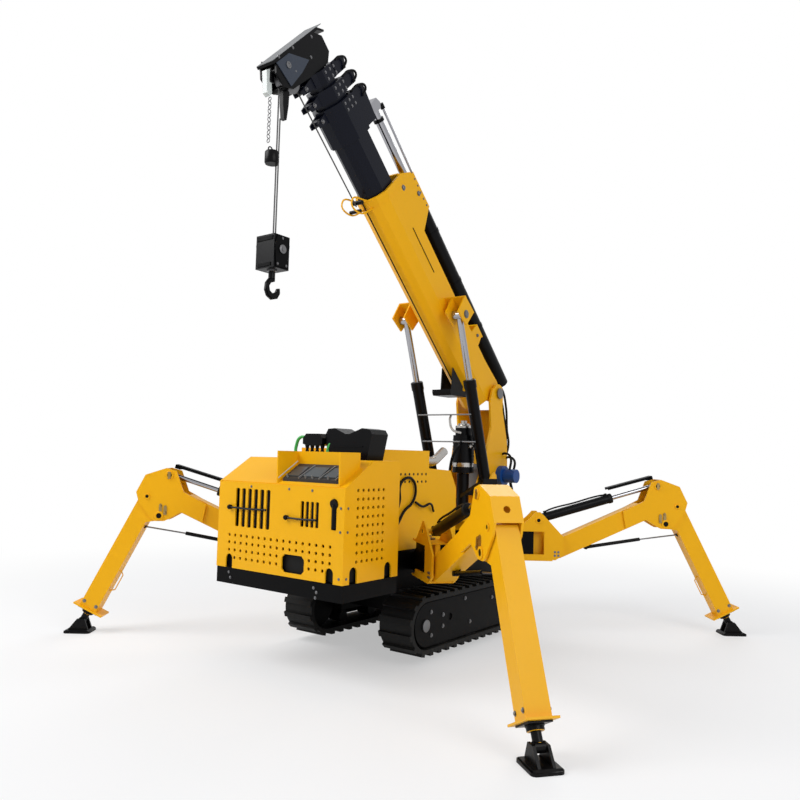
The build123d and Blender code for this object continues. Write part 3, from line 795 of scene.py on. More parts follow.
@dataclass
class BonnetSkin:
    """The bonnet's punched front and sides, the black sheets behind them that paint the shade seen through the
    holes, and the front's latches.
    """

    shop: Shop
    front: float = 1.927
    half: float = 0.68
    sheet: float = 0.012
    bottom: float = 0.757
    eave: float = 1.443
    top: float = 1.645
    back: float = 1.28
    slope_end: float = 1.605
    hole: float = 0.0135
    notches: Spot = (-0.53, 0.55)
    window: tuple[float, float, float, float] = (0.182, 0.856, 0.235, 0.136)
    vents: tuple[tuple, ...] = ((-0.28, 1.242, 6, 0.07, 0.045, 0.306), (0.338, 1.236, 4, 0.05, 0.034, 0.19))
    hole_rows: tuple[float, ...] = (1.018, 0.96, 0.90, 0.84)
    first_hole: float = -0.537
    hole_pitch: float = 0.068
    holes_in_row: int = 17

    def build(self) -> None:
        """Makes the sheets, the black backing that paints the shade behind the holes, and the latches."""
        self._front()
        self._sides()
        self._shade_backing()
        self._latches()

    def _front(self) -> None:
        """Makes the front sheet with its vents, slot, window, two notches and four rows of holes."""
        frame = Frame(Vector((self.front - self.sheet / 2, 0, 0)), LEFT, UP)
        inner = self.half - self.sheet
        arches = [spot for notch in self.notches for spot in arch_notch(notch, self.bottom, 0.039, 0.828)]
        outline = [(-inner, self.bottom), *arches, (inner, self.bottom), (inner, self.eave),
                   (-inner, self.eave)]
        holes = [slot_hole(middle + pitch * (i - (count - 1) / 2), z, width, height)
                 for middle, z, count, pitch, width, height in self.vents for i in range(count)]
        keyhole = [(0.58 + 0.038 * math.cos(a), 1.325 + 0.042 * math.sin(a))
                   for a in (math.radians(-50 + 28 * i) for i in range(11))]
        holes += [[(0.555, 1.14), (0.605, 1.14), *keyhole], slot_hole(*self.window)]
        middle, centre, width, height = self.window
        for z in self.hole_rows:
            for y in (self.first_hole + self.hole_pitch * i for i in range(self.holes_in_row)):
                by_window = abs(y - middle) < width / 2 + 0.02 and abs(z - centre) < height / 2 + 0.02
                by_notch = z < 0.9 and any(abs(y - notch) < 0.06 for notch in self.notches)
                if not by_window and not by_notch:
                    holes.append(round_hole(y, z, self.hole))
        piece = Piece("bonnet_front_punched", Paint.YELLOW, "chassis")
        piece.add_sheet(frame, outline, holes, self.sheet)
        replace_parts(piece.done(self.shop), "hood_front")

    def _sides(self) -> None:
        """Makes the two side sheets, each with nine rows of six holes."""
        piece = Piece("bonnet_sides_punched", Paint.YELLOW, "chassis")
        outline = [(self.back, self.bottom), *arch_notch(1.405, self.bottom, 0.042, 0.835),
                   *arch_notch(1.812, self.bottom, 0.042, 0.835), (self.front, self.bottom),
                   (self.front, self.eave),
                   (self.slope_end, self.top), (self.back, self.top)]
        holes = [round_hole(1.779 - 0.06 * i, 1.427 - 0.0645 * j, self.hole) for i in range(6)
                 for j in range(9)]
        for side in SIDES:
            frame = Frame(Vector((0, side * (self.half - self.sheet / 2), 0)), FORWARD, UP)
            piece.add_sheet(frame, outline, holes, self.sheet)
        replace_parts(piece.done(self.shop), "hood_sides")

    def _shade_backing(self) -> None:
        """Hangs black sheets behind the punched sheets as painted shade, so the holes show dark."""
        # Painted shade: black sheets just behind the punched sheets darken what shows through the holes.
        piece = Piece("bonnet_shade_backing", Paint.RUBBER, "chassis")
        deep = self.front - self.sheet - 0.02
        piece.box((deep - 0.01, -self.half + 0.04, self.bottom + 0.005),
                  (deep, self.half - 0.04, self.eave - 0.02))
        for side in SIDES:
            low, high = sorted((side * (self.half - 0.03), side * (self.half - 0.04)))
            piece.box((self.back + 0.02, low, self.bottom + 0.005), (deep, high, self.eave))
        piece.done(self.shop)

    def _latches(self) -> None:
        """Adds the two black latch handles over the vents and the grip in the keyhole slot."""
        piece = Piece("bonnet_latches", Paint.BLACK, "chassis")
        for knob, end, z in ((-0.53, -0.12, 1.24), (0.11, 0.41, 1.20)):
            start = Vector((self.front + 0.018, knob, z))
            piece.pipe([start, (self.front + 0.012, (knob + end) / 2, z - 0.004),
                        (self.front + 0.006, end, z)], 0.008)
            piece.lathe(start - FORWARD * 0.02, FORWARD, [(0, 0.016), (0.022, 0.02), (0.032, 0.016)], 16)
        piece.bar(Vector((self.front - 0.01, 0.58, 1.33)), Vector((self.front + 0.008, 0.58, 1.325)), 0.036)
        piece.bar(Vector((self.front - 0.006, 0.58, 1.15)), Vector((self.front - 0.006, 0.58, 1.32)), 0.02)
        piece.done(self.shop)
        bolts = Piece("bonnet_bolts", Paint.STEEL, "chassis")
        for y in (-0.3, 0.12, 0.36):
            bolts.bolt(Vector((self.front, y, self.eave - 0.03)), FORWARD, 0.007)
        for z in (0.80, 1.13, 1.30):
            bolts.bolt(Vector((self.front, self.half - 0.035, z)), FORWARD, 0.007)
            bolts.bolt(Vector((self.front - 0.04, self.half, z)), LEFT, 0.007)
        for y, z in ((-0.53, 0.70), (-0.51, 0.66), (0.40, 0.69), (0.43, 0.66), (0.42, 0.62)):
            bolts.bolt(Vector((self.front - 0.005, y, z + 0.02)), FORWARD, 0.008)
        bolts.done(self.shop)


@dataclass
class ControlPocket:
    """What lies in and behind the open pocket: its panel, the radio control and a black case."""

    shop: Shop
    panel_front: float = 1.885
    panel_z: float = 1.4935
    rise: float = 0.6273

    def build(self) -> None:
        """Makes the panel's parts and the things on the bonnet."""
        self._panel()
        self._radio()
        self._case()

    def _panel(self) -> None:
        """Puts screens, switches and two levers on the sloping panel."""
        up = Vector((-1, 0, self.rise)).normalized()
        frame = Frame(Vector((self.panel_front, 0, self.panel_z)), LEFT, up)
        screens = Piece("pocket_screens", Paint.SCREEN, "chassis")
        for low, high in ((0.03, 0.15), (0.19, 0.37), (0.40, 0.53)):
            screens.plate(frame, [(low, 0.03), (high, 0.03), (high, 0.16), (low, 0.16)], 0.0, 0.006)
        screens.done(self.shop)
        trim = Piece("pocket_trim", Paint.GREY, "chassis")
        for low, high in ((0.17, 0.18), (0.38, 0.39), (0.545, 0.555)):
            trim.plate(frame, [(low, 0.0), (high, 0.0), (high + 0.03, 0.18), (low + 0.03, 0.18)], 0.0, 0.012)
        for across in (0.05, 0.24, 0.31, 0.47):
            trim.lathe(frame.at(across, 0.012), frame.out, [(0, 0.008), (0.008, 0.008), (0.03, 0.004)], 10)
        trim.done(self.shop)
        cord = Piece("pocket_cord", Paint.PALE, "chassis")
        cord.bar(frame.at(-0.022, -0.02, 0.012), frame.at(-0.022, 0.225, 0.012), 0.0045, 10)
        cord.done(self.shop)

    def _radio(self) -> None:
        """Stands the radio control with its levers and green strap on the bonnet."""
        box = Piece("radio_control", Paint.BLACK, "chassis")
        frame = Frame(Vector((1.56, 0, 1.645)), LEFT, UP)
        box.plate(frame, [(-0.045, 0.118), (0.0, 0.105), (0.12, 0.105), (0.165, 0.118), (0.165, 0.165),
                          (0.135, 0.2),
                          (-0.01, 0.2), (-0.045, 0.165)], -0.07, 0.07)
        box.plate(frame, [(-0.06, 0.0), (0.16, 0.0), (0.16, 0.045), (-0.06, 0.045)], -0.06, 0.06)
        for i in range(4):
            foot = frame.at(-0.03 + 0.055 * i, 0.04, 0.03)
            box.lathe(foot, frame.up, [(0, 0.02), (0.035, 0.012), (0.07, 0.02)], 10)
        box.done(self.shop)
        strap = Piece("radio_strap", Paint.GREEN, "chassis")
        strap.pipe([frame.at(-0.04, 0.16), frame.at(-0.12, 0.17, 0.02), frame.at(-0.155, 0.1, 0.03),
                    frame.at(-0.14, 0.012, 0.05)], 0.013)
        strap.pipe([frame.at(0.16, 0.16), frame.at(0.215, 0.15, 0.02), frame.at(0.2, 0.06, 0.04),
                    frame.at(0.235, 0.012, 0.05)], 0.013)
        strap.done(self.shop)

    def _case(self) -> None:
        """Stands the black case with its notched top beside the radio control."""
        case = Piece("bonnet_case", Paint.BLACK, "chassis")
        frame = Frame(Vector((1.5, 0, 1.645)), LEFT, UP)
        outline = [(0.2, 0.0), (0.6, 0.0), (0.62, 0.09), (0.645, 0.2), (0.62, 0.235), (0.545, 0.245),
                   (0.42, 0.2), (0.38, 0.2),
                   (0.27, 0.245), (0.2, 0.24), (0.17, 0.19), (0.19, 0.1)]
        case.plate(frame, outline, -0.1, 0.1)
        case.plate(frame, [(0.25, 0.1), (0.56, 0.1), (0.56, 0.11), (0.25, 0.11)], 0.1, 0.106)
        case.done(self.shop)


@dataclass
class CarrierFittings:
    """Small things on the house, the tray and the tracks."""

    shop: Shop
    house_side: float = 0.4
    track_side: float = 0.678

    def build(self) -> None:
        """Makes black discs that paint the house's holes as dark shade, the house's hose, the tray's hoses and
        the track covers' bolts.
        """
        # Painted shade: flat black discs on the house's sides stand for its holes' dark insides.
        holes = Piece("house_hole_shades", Paint.RUBBER, "chassis")
        for i in range(9):
            for z in (1.53, 1.465):
                for side in SIDES:
                    holes.lathe(Vector((0.52 + 0.062 * i, side * (self.house_side - 0.002), z)), LEFT * side,
                                [(0, 0.0115), (0.0026, 0.0115)], 12)
        holes.done(self.shop)
        hoses = Piece("house_hoses", Paint.BLACK, "chassis")
        y = self.house_side + 0.022
        loop = ((1.05, 1.12), (0.93, 1.30), (0.925, 1.44), (0.84, 1.50), (0.745, 1.48), (0.70, 1.40),
                (0.735, 1.30), (0.86, 1.22), (0.92, 1.15), (1.0, 1.05))
        hoses.pipe([(x, y, z) for x, z in loop], 0.012)
        hoses.pipe([(0.70, y, 1.29), (0.60, y + 0.01, 1.25), (0.50, y + 0.02, 1.27), (0.42, y, 1.2)], 0.011)
        for x in (-0.02, 0.16):
            hoses.pipe([(1.7, x - 0.2, 0.632), (1.66, x - 0.1, 0.585), (1.6, x, 0.60),
                        (1.55, x + 0.06, 0.632)], 0.016)
        hoses.lathe(Vector((1.72, -0.18, 0.632)), -UP, [(0, 0.035), (0.03, 0.035), (0.045, 0.02)], 16)
        hoses.done(self.shop)
        bolts = Piece("track_cover_bolts", Paint.STEEL, "chassis")
        spots = ((0.797, 0.41), (0.617, 0.363), (0.619, 0.27), (0.789, 0.221), (0.27, 0.453), (0.184, 0.239),
                 (-0.2, 0.4), (-0.45, 0.25))
        for side in SIDES:
            for x, z in spots:
                bolts.bolt(Vector((x, side * self.track_side, z)), LEFT * side, 0.012)
            bolts.lathe(Vector((0.875, side * self.track_side, 0.31)), LEFT * side,
                        [(0, 0.05), (0.012, 0.05), (0.018, 0.035)], 20)
        bolts.done(self.shop)


@dataclass
class OutriggerFittings:
    """One outrigger's pin rings, keepers, bolts, window filling, strut, hose channel and dark ankle."""

    shop: Shop
    rig: Rig
    corner: Corner
    bracket_half: float = 0.11
    knuckle_half: float = 0.101
    jack_eye: Spot = (1.407, 1.451)
    lock_pin: Spot = (1.603, 1.253)
    window_z: Spot = (0.708, 0.977)
    strut: tuple[Spot, Spot, Spot] = ((0.714, 0.822), (1.259, 0.914), (1.645, 0.968))
    strut_lug: Spot = (1.642, 0.967)
    channel: tuple[Spot, Spot] = ((0.92, 1.415), (1.37, 1.545))
    leg_lean: float = 26.45
    leg_end: Spot = (0.165, 1.049)

    def build(self) -> None:
        """Makes this outrigger's fittings."""
        self.frame = self.rig.spread(self.corner)
        self._pins()
        self._keepers()
        self._bracket()
        self._strut()
        self._guard()
        self._ankle()

    def _flat(self, joint: str) -> tuple[float, float]:
        """Finds a joint's pin in this outrigger's plane.

        Args:
            joint: The joint's name without its corner.

        Returns:
            Distances outwards and up.
        """
        gap = self.rig.pins[f"{self.corner.value}_{joint}"] - self.frame.origin
        return gap.dot(self.frame.right), gap.z

    def _pins(self) -> None:
        """Rings the bracket's and the knuckle's pins on both sides."""
        label, frame = self.corner.value, self.frame
        knuckle = ((self._flat("leg_fold"), 0.042), (self.lock_pin, 0.026), (self.jack_eye, 0.036))
        for part, half, spots in (("swing", self.bracket_half, ((self._flat("jack_tilt"), 0.03),)),
                                  ("arm", self.knuckle_half, knuckle)):
            bosses = Piece(f"{part}_bosses_{label}", Paint.YELLOW, f"{label}_{part}")
            pins = Piece(f"{part}_pins_{label}", Paint.BLACK, f"{label}_{part}")
            for side in SIDES:
                for spot, radius in spots:
                    bosses.boss(frame.at(*spot, side * half), frame.out * side, radius)
                    pins.bar(frame.at(*spot, side * half), frame.at(*spot, side * (half + 0.006)),
                             radius * 0.56)
            bosses.done(self.shop)
            pins.done(self.shop)

    def _keepers(self) -> None:
        """Keeps the fold pin and the jack's eye with bolted plates."""
        frame, fold, eye = self.frame, self._flat("leg_fold"), self.jack_eye
        keepers = Piece(f"keepers_{self.corner.value}", Paint.BRASS, f"{self.corner.value}_arm")
        for side in SIDES:
            low, high = sorted((side * (self.knuckle_half + 0.009), side * (self.knuckle_half + 0.014)))
            keepers.plate(frame, [(eye[0] - 0.012, eye[1] - 0.034), (eye[0] + 0.012, eye[1] - 0.034),
                                  (eye[0] + 0.014, eye[1] + 0.03), (eye[0] - 0.014, eye[1] + 0.03)], low,
                          high)
            for across, up, tall in ((-0.055, 0.01, 0.075), (-0.012, 0.04, 0.06)):
                x, z = fold[0] + across, fold[1] + up
                keepers.plate(frame, [(x - 0.014, z), (x + 0.014, z), (x + 0.014, z + tall),
                                      (x, z + tall + 0.014),
                                      (x - 0.014, z + tall)], low - side * 0.008, high - side * 0.004)
            for spot in ((fold[0] - 0.055, fold[1] + 0.03), (fold[0] - 0.012, fold[1] + 0.09),
                         (eye[0], eye[1] + 0.022)):
                keepers.bolt(frame.at(*spot, side * (self.knuckle_half + 0.012)), frame.out * side, 0.007)
        keepers.done(self.shop)

    def _bracket(self) -> None:
        """Bolts the bracket at the arm's root and post, and fills its window with a core and a web."""
        label, frame = self.corner.value, self.frame
        root = self._flat("arm_raise")
        bolts = Piece(f"bracket_bolts_{label}", Paint.STEEL, f"{label}_swing")
        for side in SIDES:
            for across in (-0.017, 0.017):
                for up in (-0.017, 0.017):
                    bolts.bolt(frame.at(root[0] + across, root[1] + up, side * self.bracket_half),
                               frame.out * side, 0.008)
        bolts.lathe(frame.at(0, 0.995), frame.up, [(0, 0.062), (0.012, 0.062), (0.016, 0.03), (0.032, 0.03)],
                    24)
        bolts.done(self.shop)
        low, high = self.window_z
        for name, paint, left, right, half in (("core", Paint.FRAME, -0.05, 0.175, 0.088),
                                               ("web", Paint.YELLOW, 0.178, 0.27, 0.02)):
            fill = Piece(f"bracket_{name}_{label}", paint, f"{label}_swing")
            fill.plate(frame, [(left, low), (right, low), (right, high), (left, high)], -half, half)
            fill.done(self.shop)

    def _strut(self) -> None:
        """Slings the slim strut under the arm; its rod reaches to the leg."""
        label, frame = self.corner.value, self.frame
        foot, gland, eye = (frame.at(*spot) for spot in self.strut)
        tube = Piece(f"strut_tube_{label}", Paint.BLACK, f"{label}_arm")
        tube.bar(foot, gland, 0.017)
        tube.lathe(foot + frame.out * 0.022, -frame.out, [(0, 0.02), (0.044, 0.02)], 16)
        tube.plate(frame, [(0.69, 0.81), (0.74, 0.81), (0.75, 0.865), (0.69, 0.845)], -0.03, -0.022)
        tube.done(self.shop)
        rod = Piece(f"strut_rod_{label}", Paint.STEEL, f"{label}_arm")
        rod.bar(foot.lerp(gland, 0.9), eye, 0.007, 10)
        rod.done_between(self.shop)

    def _guard(self) -> None:
        """Runs the black hose channel over the jack, and a hose to the jack's port."""
        label, frame = self.corner.value, self.frame
        guard = Piece(f"hose_channel_{label}", Paint.FRAME, f"{label}_arm")
        low, high = (Vector((*spot, 0)) for spot in self.channel)
        along = (high - low).normalized()
        channel = Frame(frame.at(low.x, low.y), frame.right * along.x + frame.up * along.y,
                        frame.up * along.x - frame.right * along.y)
        length = (high - low).length
        guard.plate(channel, [(0, 0.0), (length, 0.0), (length, 0.006), (0, 0.006)], -0.05, 0.05)
        for side in SIDES:
            edge = [(0, -0.02), (length, -0.02), (length, 0.006), (0, 0.006)]
            guard.plate(channel, edge, side * 0.044, side * 0.05)
        guard.plate(channel, [(length - 0.05, -0.03), (length, -0.03), (length, 0.0), (length - 0.05, 0.0)],
                    -0.05, 0.05)
        guard.done(self.shop)
        hose = Piece(f"jack_hose_{label}", Paint.RUBBER, f"{label}_jack_barrel")
        pin, eye = Vector(self._flat("jack_tilt")), Vector(self.jack_eye)
        way = (eye - pin).normalized()
        lift = Vector((-way.y, way.x))
        spots = [pin + way * a + lift * b for a,
                 b in ((0.09, 0.05), (0.16, 0.062), (0.4, 0.058), (0.66, 0.058), (0.74, 0.048))]
        hose.pipe([frame.at(spot.x, spot.y, 0.012) for spot in spots], 0.009)
        for a in (0.1, 0.74):
            spot = pin + way * a
            hose.lathe(frame.at(spot.x, spot.y, 0.0), frame.right * lift.x + frame.up * lift.y,
                       [(0, 0.014), (0.06, 0.014)], 10)
        hose.lathe(frame.at(*(pin + way * 0.755)), frame.right * way.x + frame.up * way.y,
                   [(0, 0.049), (0.03, 0.049), (0.036, 0.045)], 24)
        hose.done(self.shop)

    def _ankle(self) -> None:
        """Adds the leg's black neck, second plate and strut lug, its handle, and bolts by the flange."""
        label, frame = self.corner.value, self.frame
        ankle = Vector(self._flat("foot_tilt"))
        fold = Vector(self._flat("leg_fold"))
        lean = math.radians(self.leg_lean)
        out, up = Vector((math.cos(lean), math.sin(lean))), Vector((-math.sin(lean), math.cos(lean)))
        end = fold + out * self.leg_end[0] - up * self.leg_end[1]
        way = (ankle - end).normalized()
        axis = frame.right * way.x + frame.up * way.y
        neck = Piece(f"ankle_neck_{label}", Paint.BLACK, f"{label}_leg")
        reach = (ankle - end).length
        neck.lathe(frame.at(end.x, end.y), axis, [(0, 0.058), (0.02, 0.058), (0.024, 0.053),
                                                  (reach - 0.083, 0.053), (reach - 0.079, 0.031),
                                                  (reach - 0.02, 0.031)], 24)
        neck.bar(frame.at(*ankle, -0.033), frame.at(*ankle, 0.033), 0.033, 24)
        neck.bar(frame.at(*self.strut_lug, -0.02), frame.at(*self.strut_lug, 0.02), 0.016)
        plate = Frame(frame.at(end.x, end.y), frame.right * out.x + frame.up * out.y,
                      frame.up * up.y + frame.right * up.x)
        neck.plate(plate, [(-0.1, -0.012), (0.09, -0.012), (0.09, 0.0), (-0.1, 0.0)], -0.075, 0.075)
        neck.done(self.shop)
        grip = Piece(f"leg_handle_{label}", Paint.YELLOW, f"{label}_leg")
        inner = [(-0.08, 0.43), (-0.118, 0.40), (-0.118, 0.25), (-0.08, 0.22)]
        for start, stop in zip(inner, inner[1:]):
            grip.bar(plate.at(*start), plate.at(*stop), 0.005, 10)
        grip.done(self.shop)
        bolts = Piece(f"leg_bolts_{label}", Paint.STEEL, f"{label}_leg")
        for a, b in ((-0.06, 0.06), (0.06, 0.06)):
            for side in SIDES:
                bolts.bolt(plate.at(a, b, side * 0.08), frame.out * side, 0.011)
        bolts.done(self.shop)


@dataclass
class UpperFittings:
    """Fittings on the turntable, column and lift cylinders."""

    shop: Shop
    rig: Rig
    lift_y: float = 0.32
    lift_cheek: float = 0.079
    lift_pin: float = 0.03
    lift_head: Spot = (1.187, -0.175)
    bolt_ring: float = 0.485
    ring_bolts: int = 24

    def build(self) -> None:
        """Makes the fittings of the upper works."""
        self._turntable()
        self._column()
        self._filter()
        self._cylinders()

    def _turntable(self) -> None:
        """Rings the turntable with bolts and caps the pivots."""
        bolts = Piece("turntable_bolts", Paint.STEEL, "upper")
        centre = self.rig.pins["slew"]
        for i in range(self.ring_bolts):
            a = 2 * math.pi * i / self.ring_bolts
            if abs(math.sin(a) * 0.47) < 0.22 or math.cos(a) < 0:
                bolts.bolt(Vector((centre.x + self.bolt_ring * math.cos(a), self.bolt_ring * math.sin(a),
                                   1.11)), UP, 0.012)
        for side in SIDES:
            way = Vector((0, side, 0))
            pivot = self.rig.pins["luff"]
            bolts.lathe(pivot + way * 0.228, way, [(0, 0.058), (0.012, 0.058), (0.016, 0.03)], 28)
            foot = self.rig.pins["lift_tilt"]
            bolts.pin(Vector((foot.x, side * (self.lift_y + self.lift_cheek), foot.z)), way, self.lift_pin)
        bolts.done(self.shop)

    def _column(self) -> None:
        """Hangs hoses behind the column and sets the motor's fittings and a valve block on it."""
        hoses = Piece("column_hoses", Paint.RUBBER, "upper")
        routes = (((-1.12, 2.47), (-1.23, 2.44), (-1.33, 2.25), (-1.36, 2.0), (-1.40, 1.84), (-1.34, 1.72),
                   (-1.28, 1.68)),
                  ((-1.15, 2.42), (-1.28, 2.36), (-1.38, 2.14), (-1.43, 1.92), (-1.42, 1.74), (-1.33, 1.63),
                   (-1.28, 1.6)),
                  ((-1.17, 2.36), (-1.27, 2.26), (-1.33, 2.05), (-1.36, 1.85), (-1.35, 1.6), (-1.30, 1.45)))
        for route, y in zip(routes, (0.17, 0.12, 0.06)):
            hoses.pipe([(x, y, z) for x, z in route], 0.014)
        motor = self.rig.pins["winch_spin"]
        for x, top in ((-0.07, 0.16), (0.02, 0.2)):
            hoses.pipe([(x, 0.34, 0.05), (x - 0.01, 0.345, top), (x - 0.05, 0.25, top + 0.04),
                        (x - 0.09, 0.19, top + 0.02)], 0.013, motor)
        hoses.pipe([(-0.02, 0.33, -0.06), (-0.03, 0.34, -0.2), (0.03, 0.3, -0.27), (0.1, 0.22, -0.3)], 0.016,
                   motor)
        hoses.done(self.shop)
        valve = Piece("column_valves", Paint.GREY, "upper")
        valve.box((-0.93, -0.1, 1.35), (-0.82, 0.12, 1.62))
        for i in range(4):
            valve.lathe(Vector((-0.82, -0.06 + 0.05 * i, 1.56)), FORWARD,
                        [(0, 0.018), (0.03, 0.018), (0.034, 0.011), (0.06, 0.011)], 12)
        valve.done(self.shop)

    def _filter(self) -> None:
        """Puts the bright cap, bowl and funnel on the drive beside the cylinder."""
        at = Vector((-0.56, 0.11, 0))
        bright = Piece("drive_bright_rings", Paint.BRIGHT, "upper")
        bright.lathe(at + UP * 1.985, UP, [(0, 0.088), (0.02, 0.088), (0.03, 0.06), (0.045, 0.06),
                                           (0.05, 0.03), (0.075, 0.03)], 28)
        bright.lathe(at + UP * 1.52, UP, [(0, 0.07), (0.02, 0.1), (0.09, 0.112), (0.11, 0.112)], 28)
        bright.lathe(at + UP * 1.80, Vector((0.3, 0.95, 0)),
                     [(0, 0.03), (0.135, 0.03), (0.14, 0.018), (0.16, 0.018)], 14)
        bright.pipe([(-0.42, 0.16, 1.93), (-0.33, 0.12, 1.96), (-0.31, 0.1, 2.05), (-0.36, 0.08, 2.11)],
                    0.012)
        bright.done(self.shop)
        ribs = Piece("drive_ribs", Paint.BLACK, "upper")
        for i in range(7):
            ribs.lathe(at + UP * (1.66 + 0.033 * i), UP, [(0, 0.112), (0.012, 0.112)], 28)
        ribs.pipe([(0.1, 0.05, 1.85), (0.17, 0.04, 1.8), (0.16, -0.05, 1.6), (0.05, -0.1, 1.35),
                   (-0.1, -0.12, 1.2)], 0.014, at)
        ribs.done(self.shop)

    def _cylinders(self) -> None:
        """Adds gland collars, oil pipes and the thin cross pipes to the lift cylinders."""
        foot = self.rig.pins["lift_tilt"]
        head = self.rig.boom.at(*self.lift_head)
        way = (head - foot).normalized()
        collars = Piece("lift_collars", Paint.BLACK, "lift_barrel_pair")
        pipes = Piece("lift_pipes", Paint.GREY, "lift_barrel_pair")
        back = Vector((-way.z, 0, way.x))
        for side in SIDES:
            base = Vector((foot.x, side * self.lift_y, foot.z))
            collars.lathe(base + way * 1.10, way, [(0, 0.064), (0.075, 0.064), (0.082, 0.055)], 28)
            collars.lathe(base + way * 0.12, way, [(0, 0.062), (0.03, 0.062)], 28)
            for port in (0.16, 1.08):
                collars.lathe(base + way * port, back, [(0, 0.018), (0.08, 0.018)], 12)
            pipes.pipe([base + way * 0.16 + back * 0.078, base + way * 0.3 + back * 0.075,
                        base + way * 1.08 + back * 0.078], 0.007)
        for height in (0.845, 0.56):
            start = Vector((foot.x, 0, foot.z)) + way * height + back * -0.07
            pipes.pipe([start + Vector((0, y, 0.0)) for y in (-self.lift_y, -0.1, 0.1, self.lift_y)], 0.008)
        collars.done(self.shop)
        pipes.done(self.shop)
        bosses = Piece("lift_head_bosses", Paint.STEEL, "boom")
        for side in SIDES:
            bosses.pin(Vector((head.x, side * (self.lift_y + self.lift_cheek), head.z)),
                       Vector((0, side, 0)),
                       self.lift_pin)
        bosses.done(self.shop)


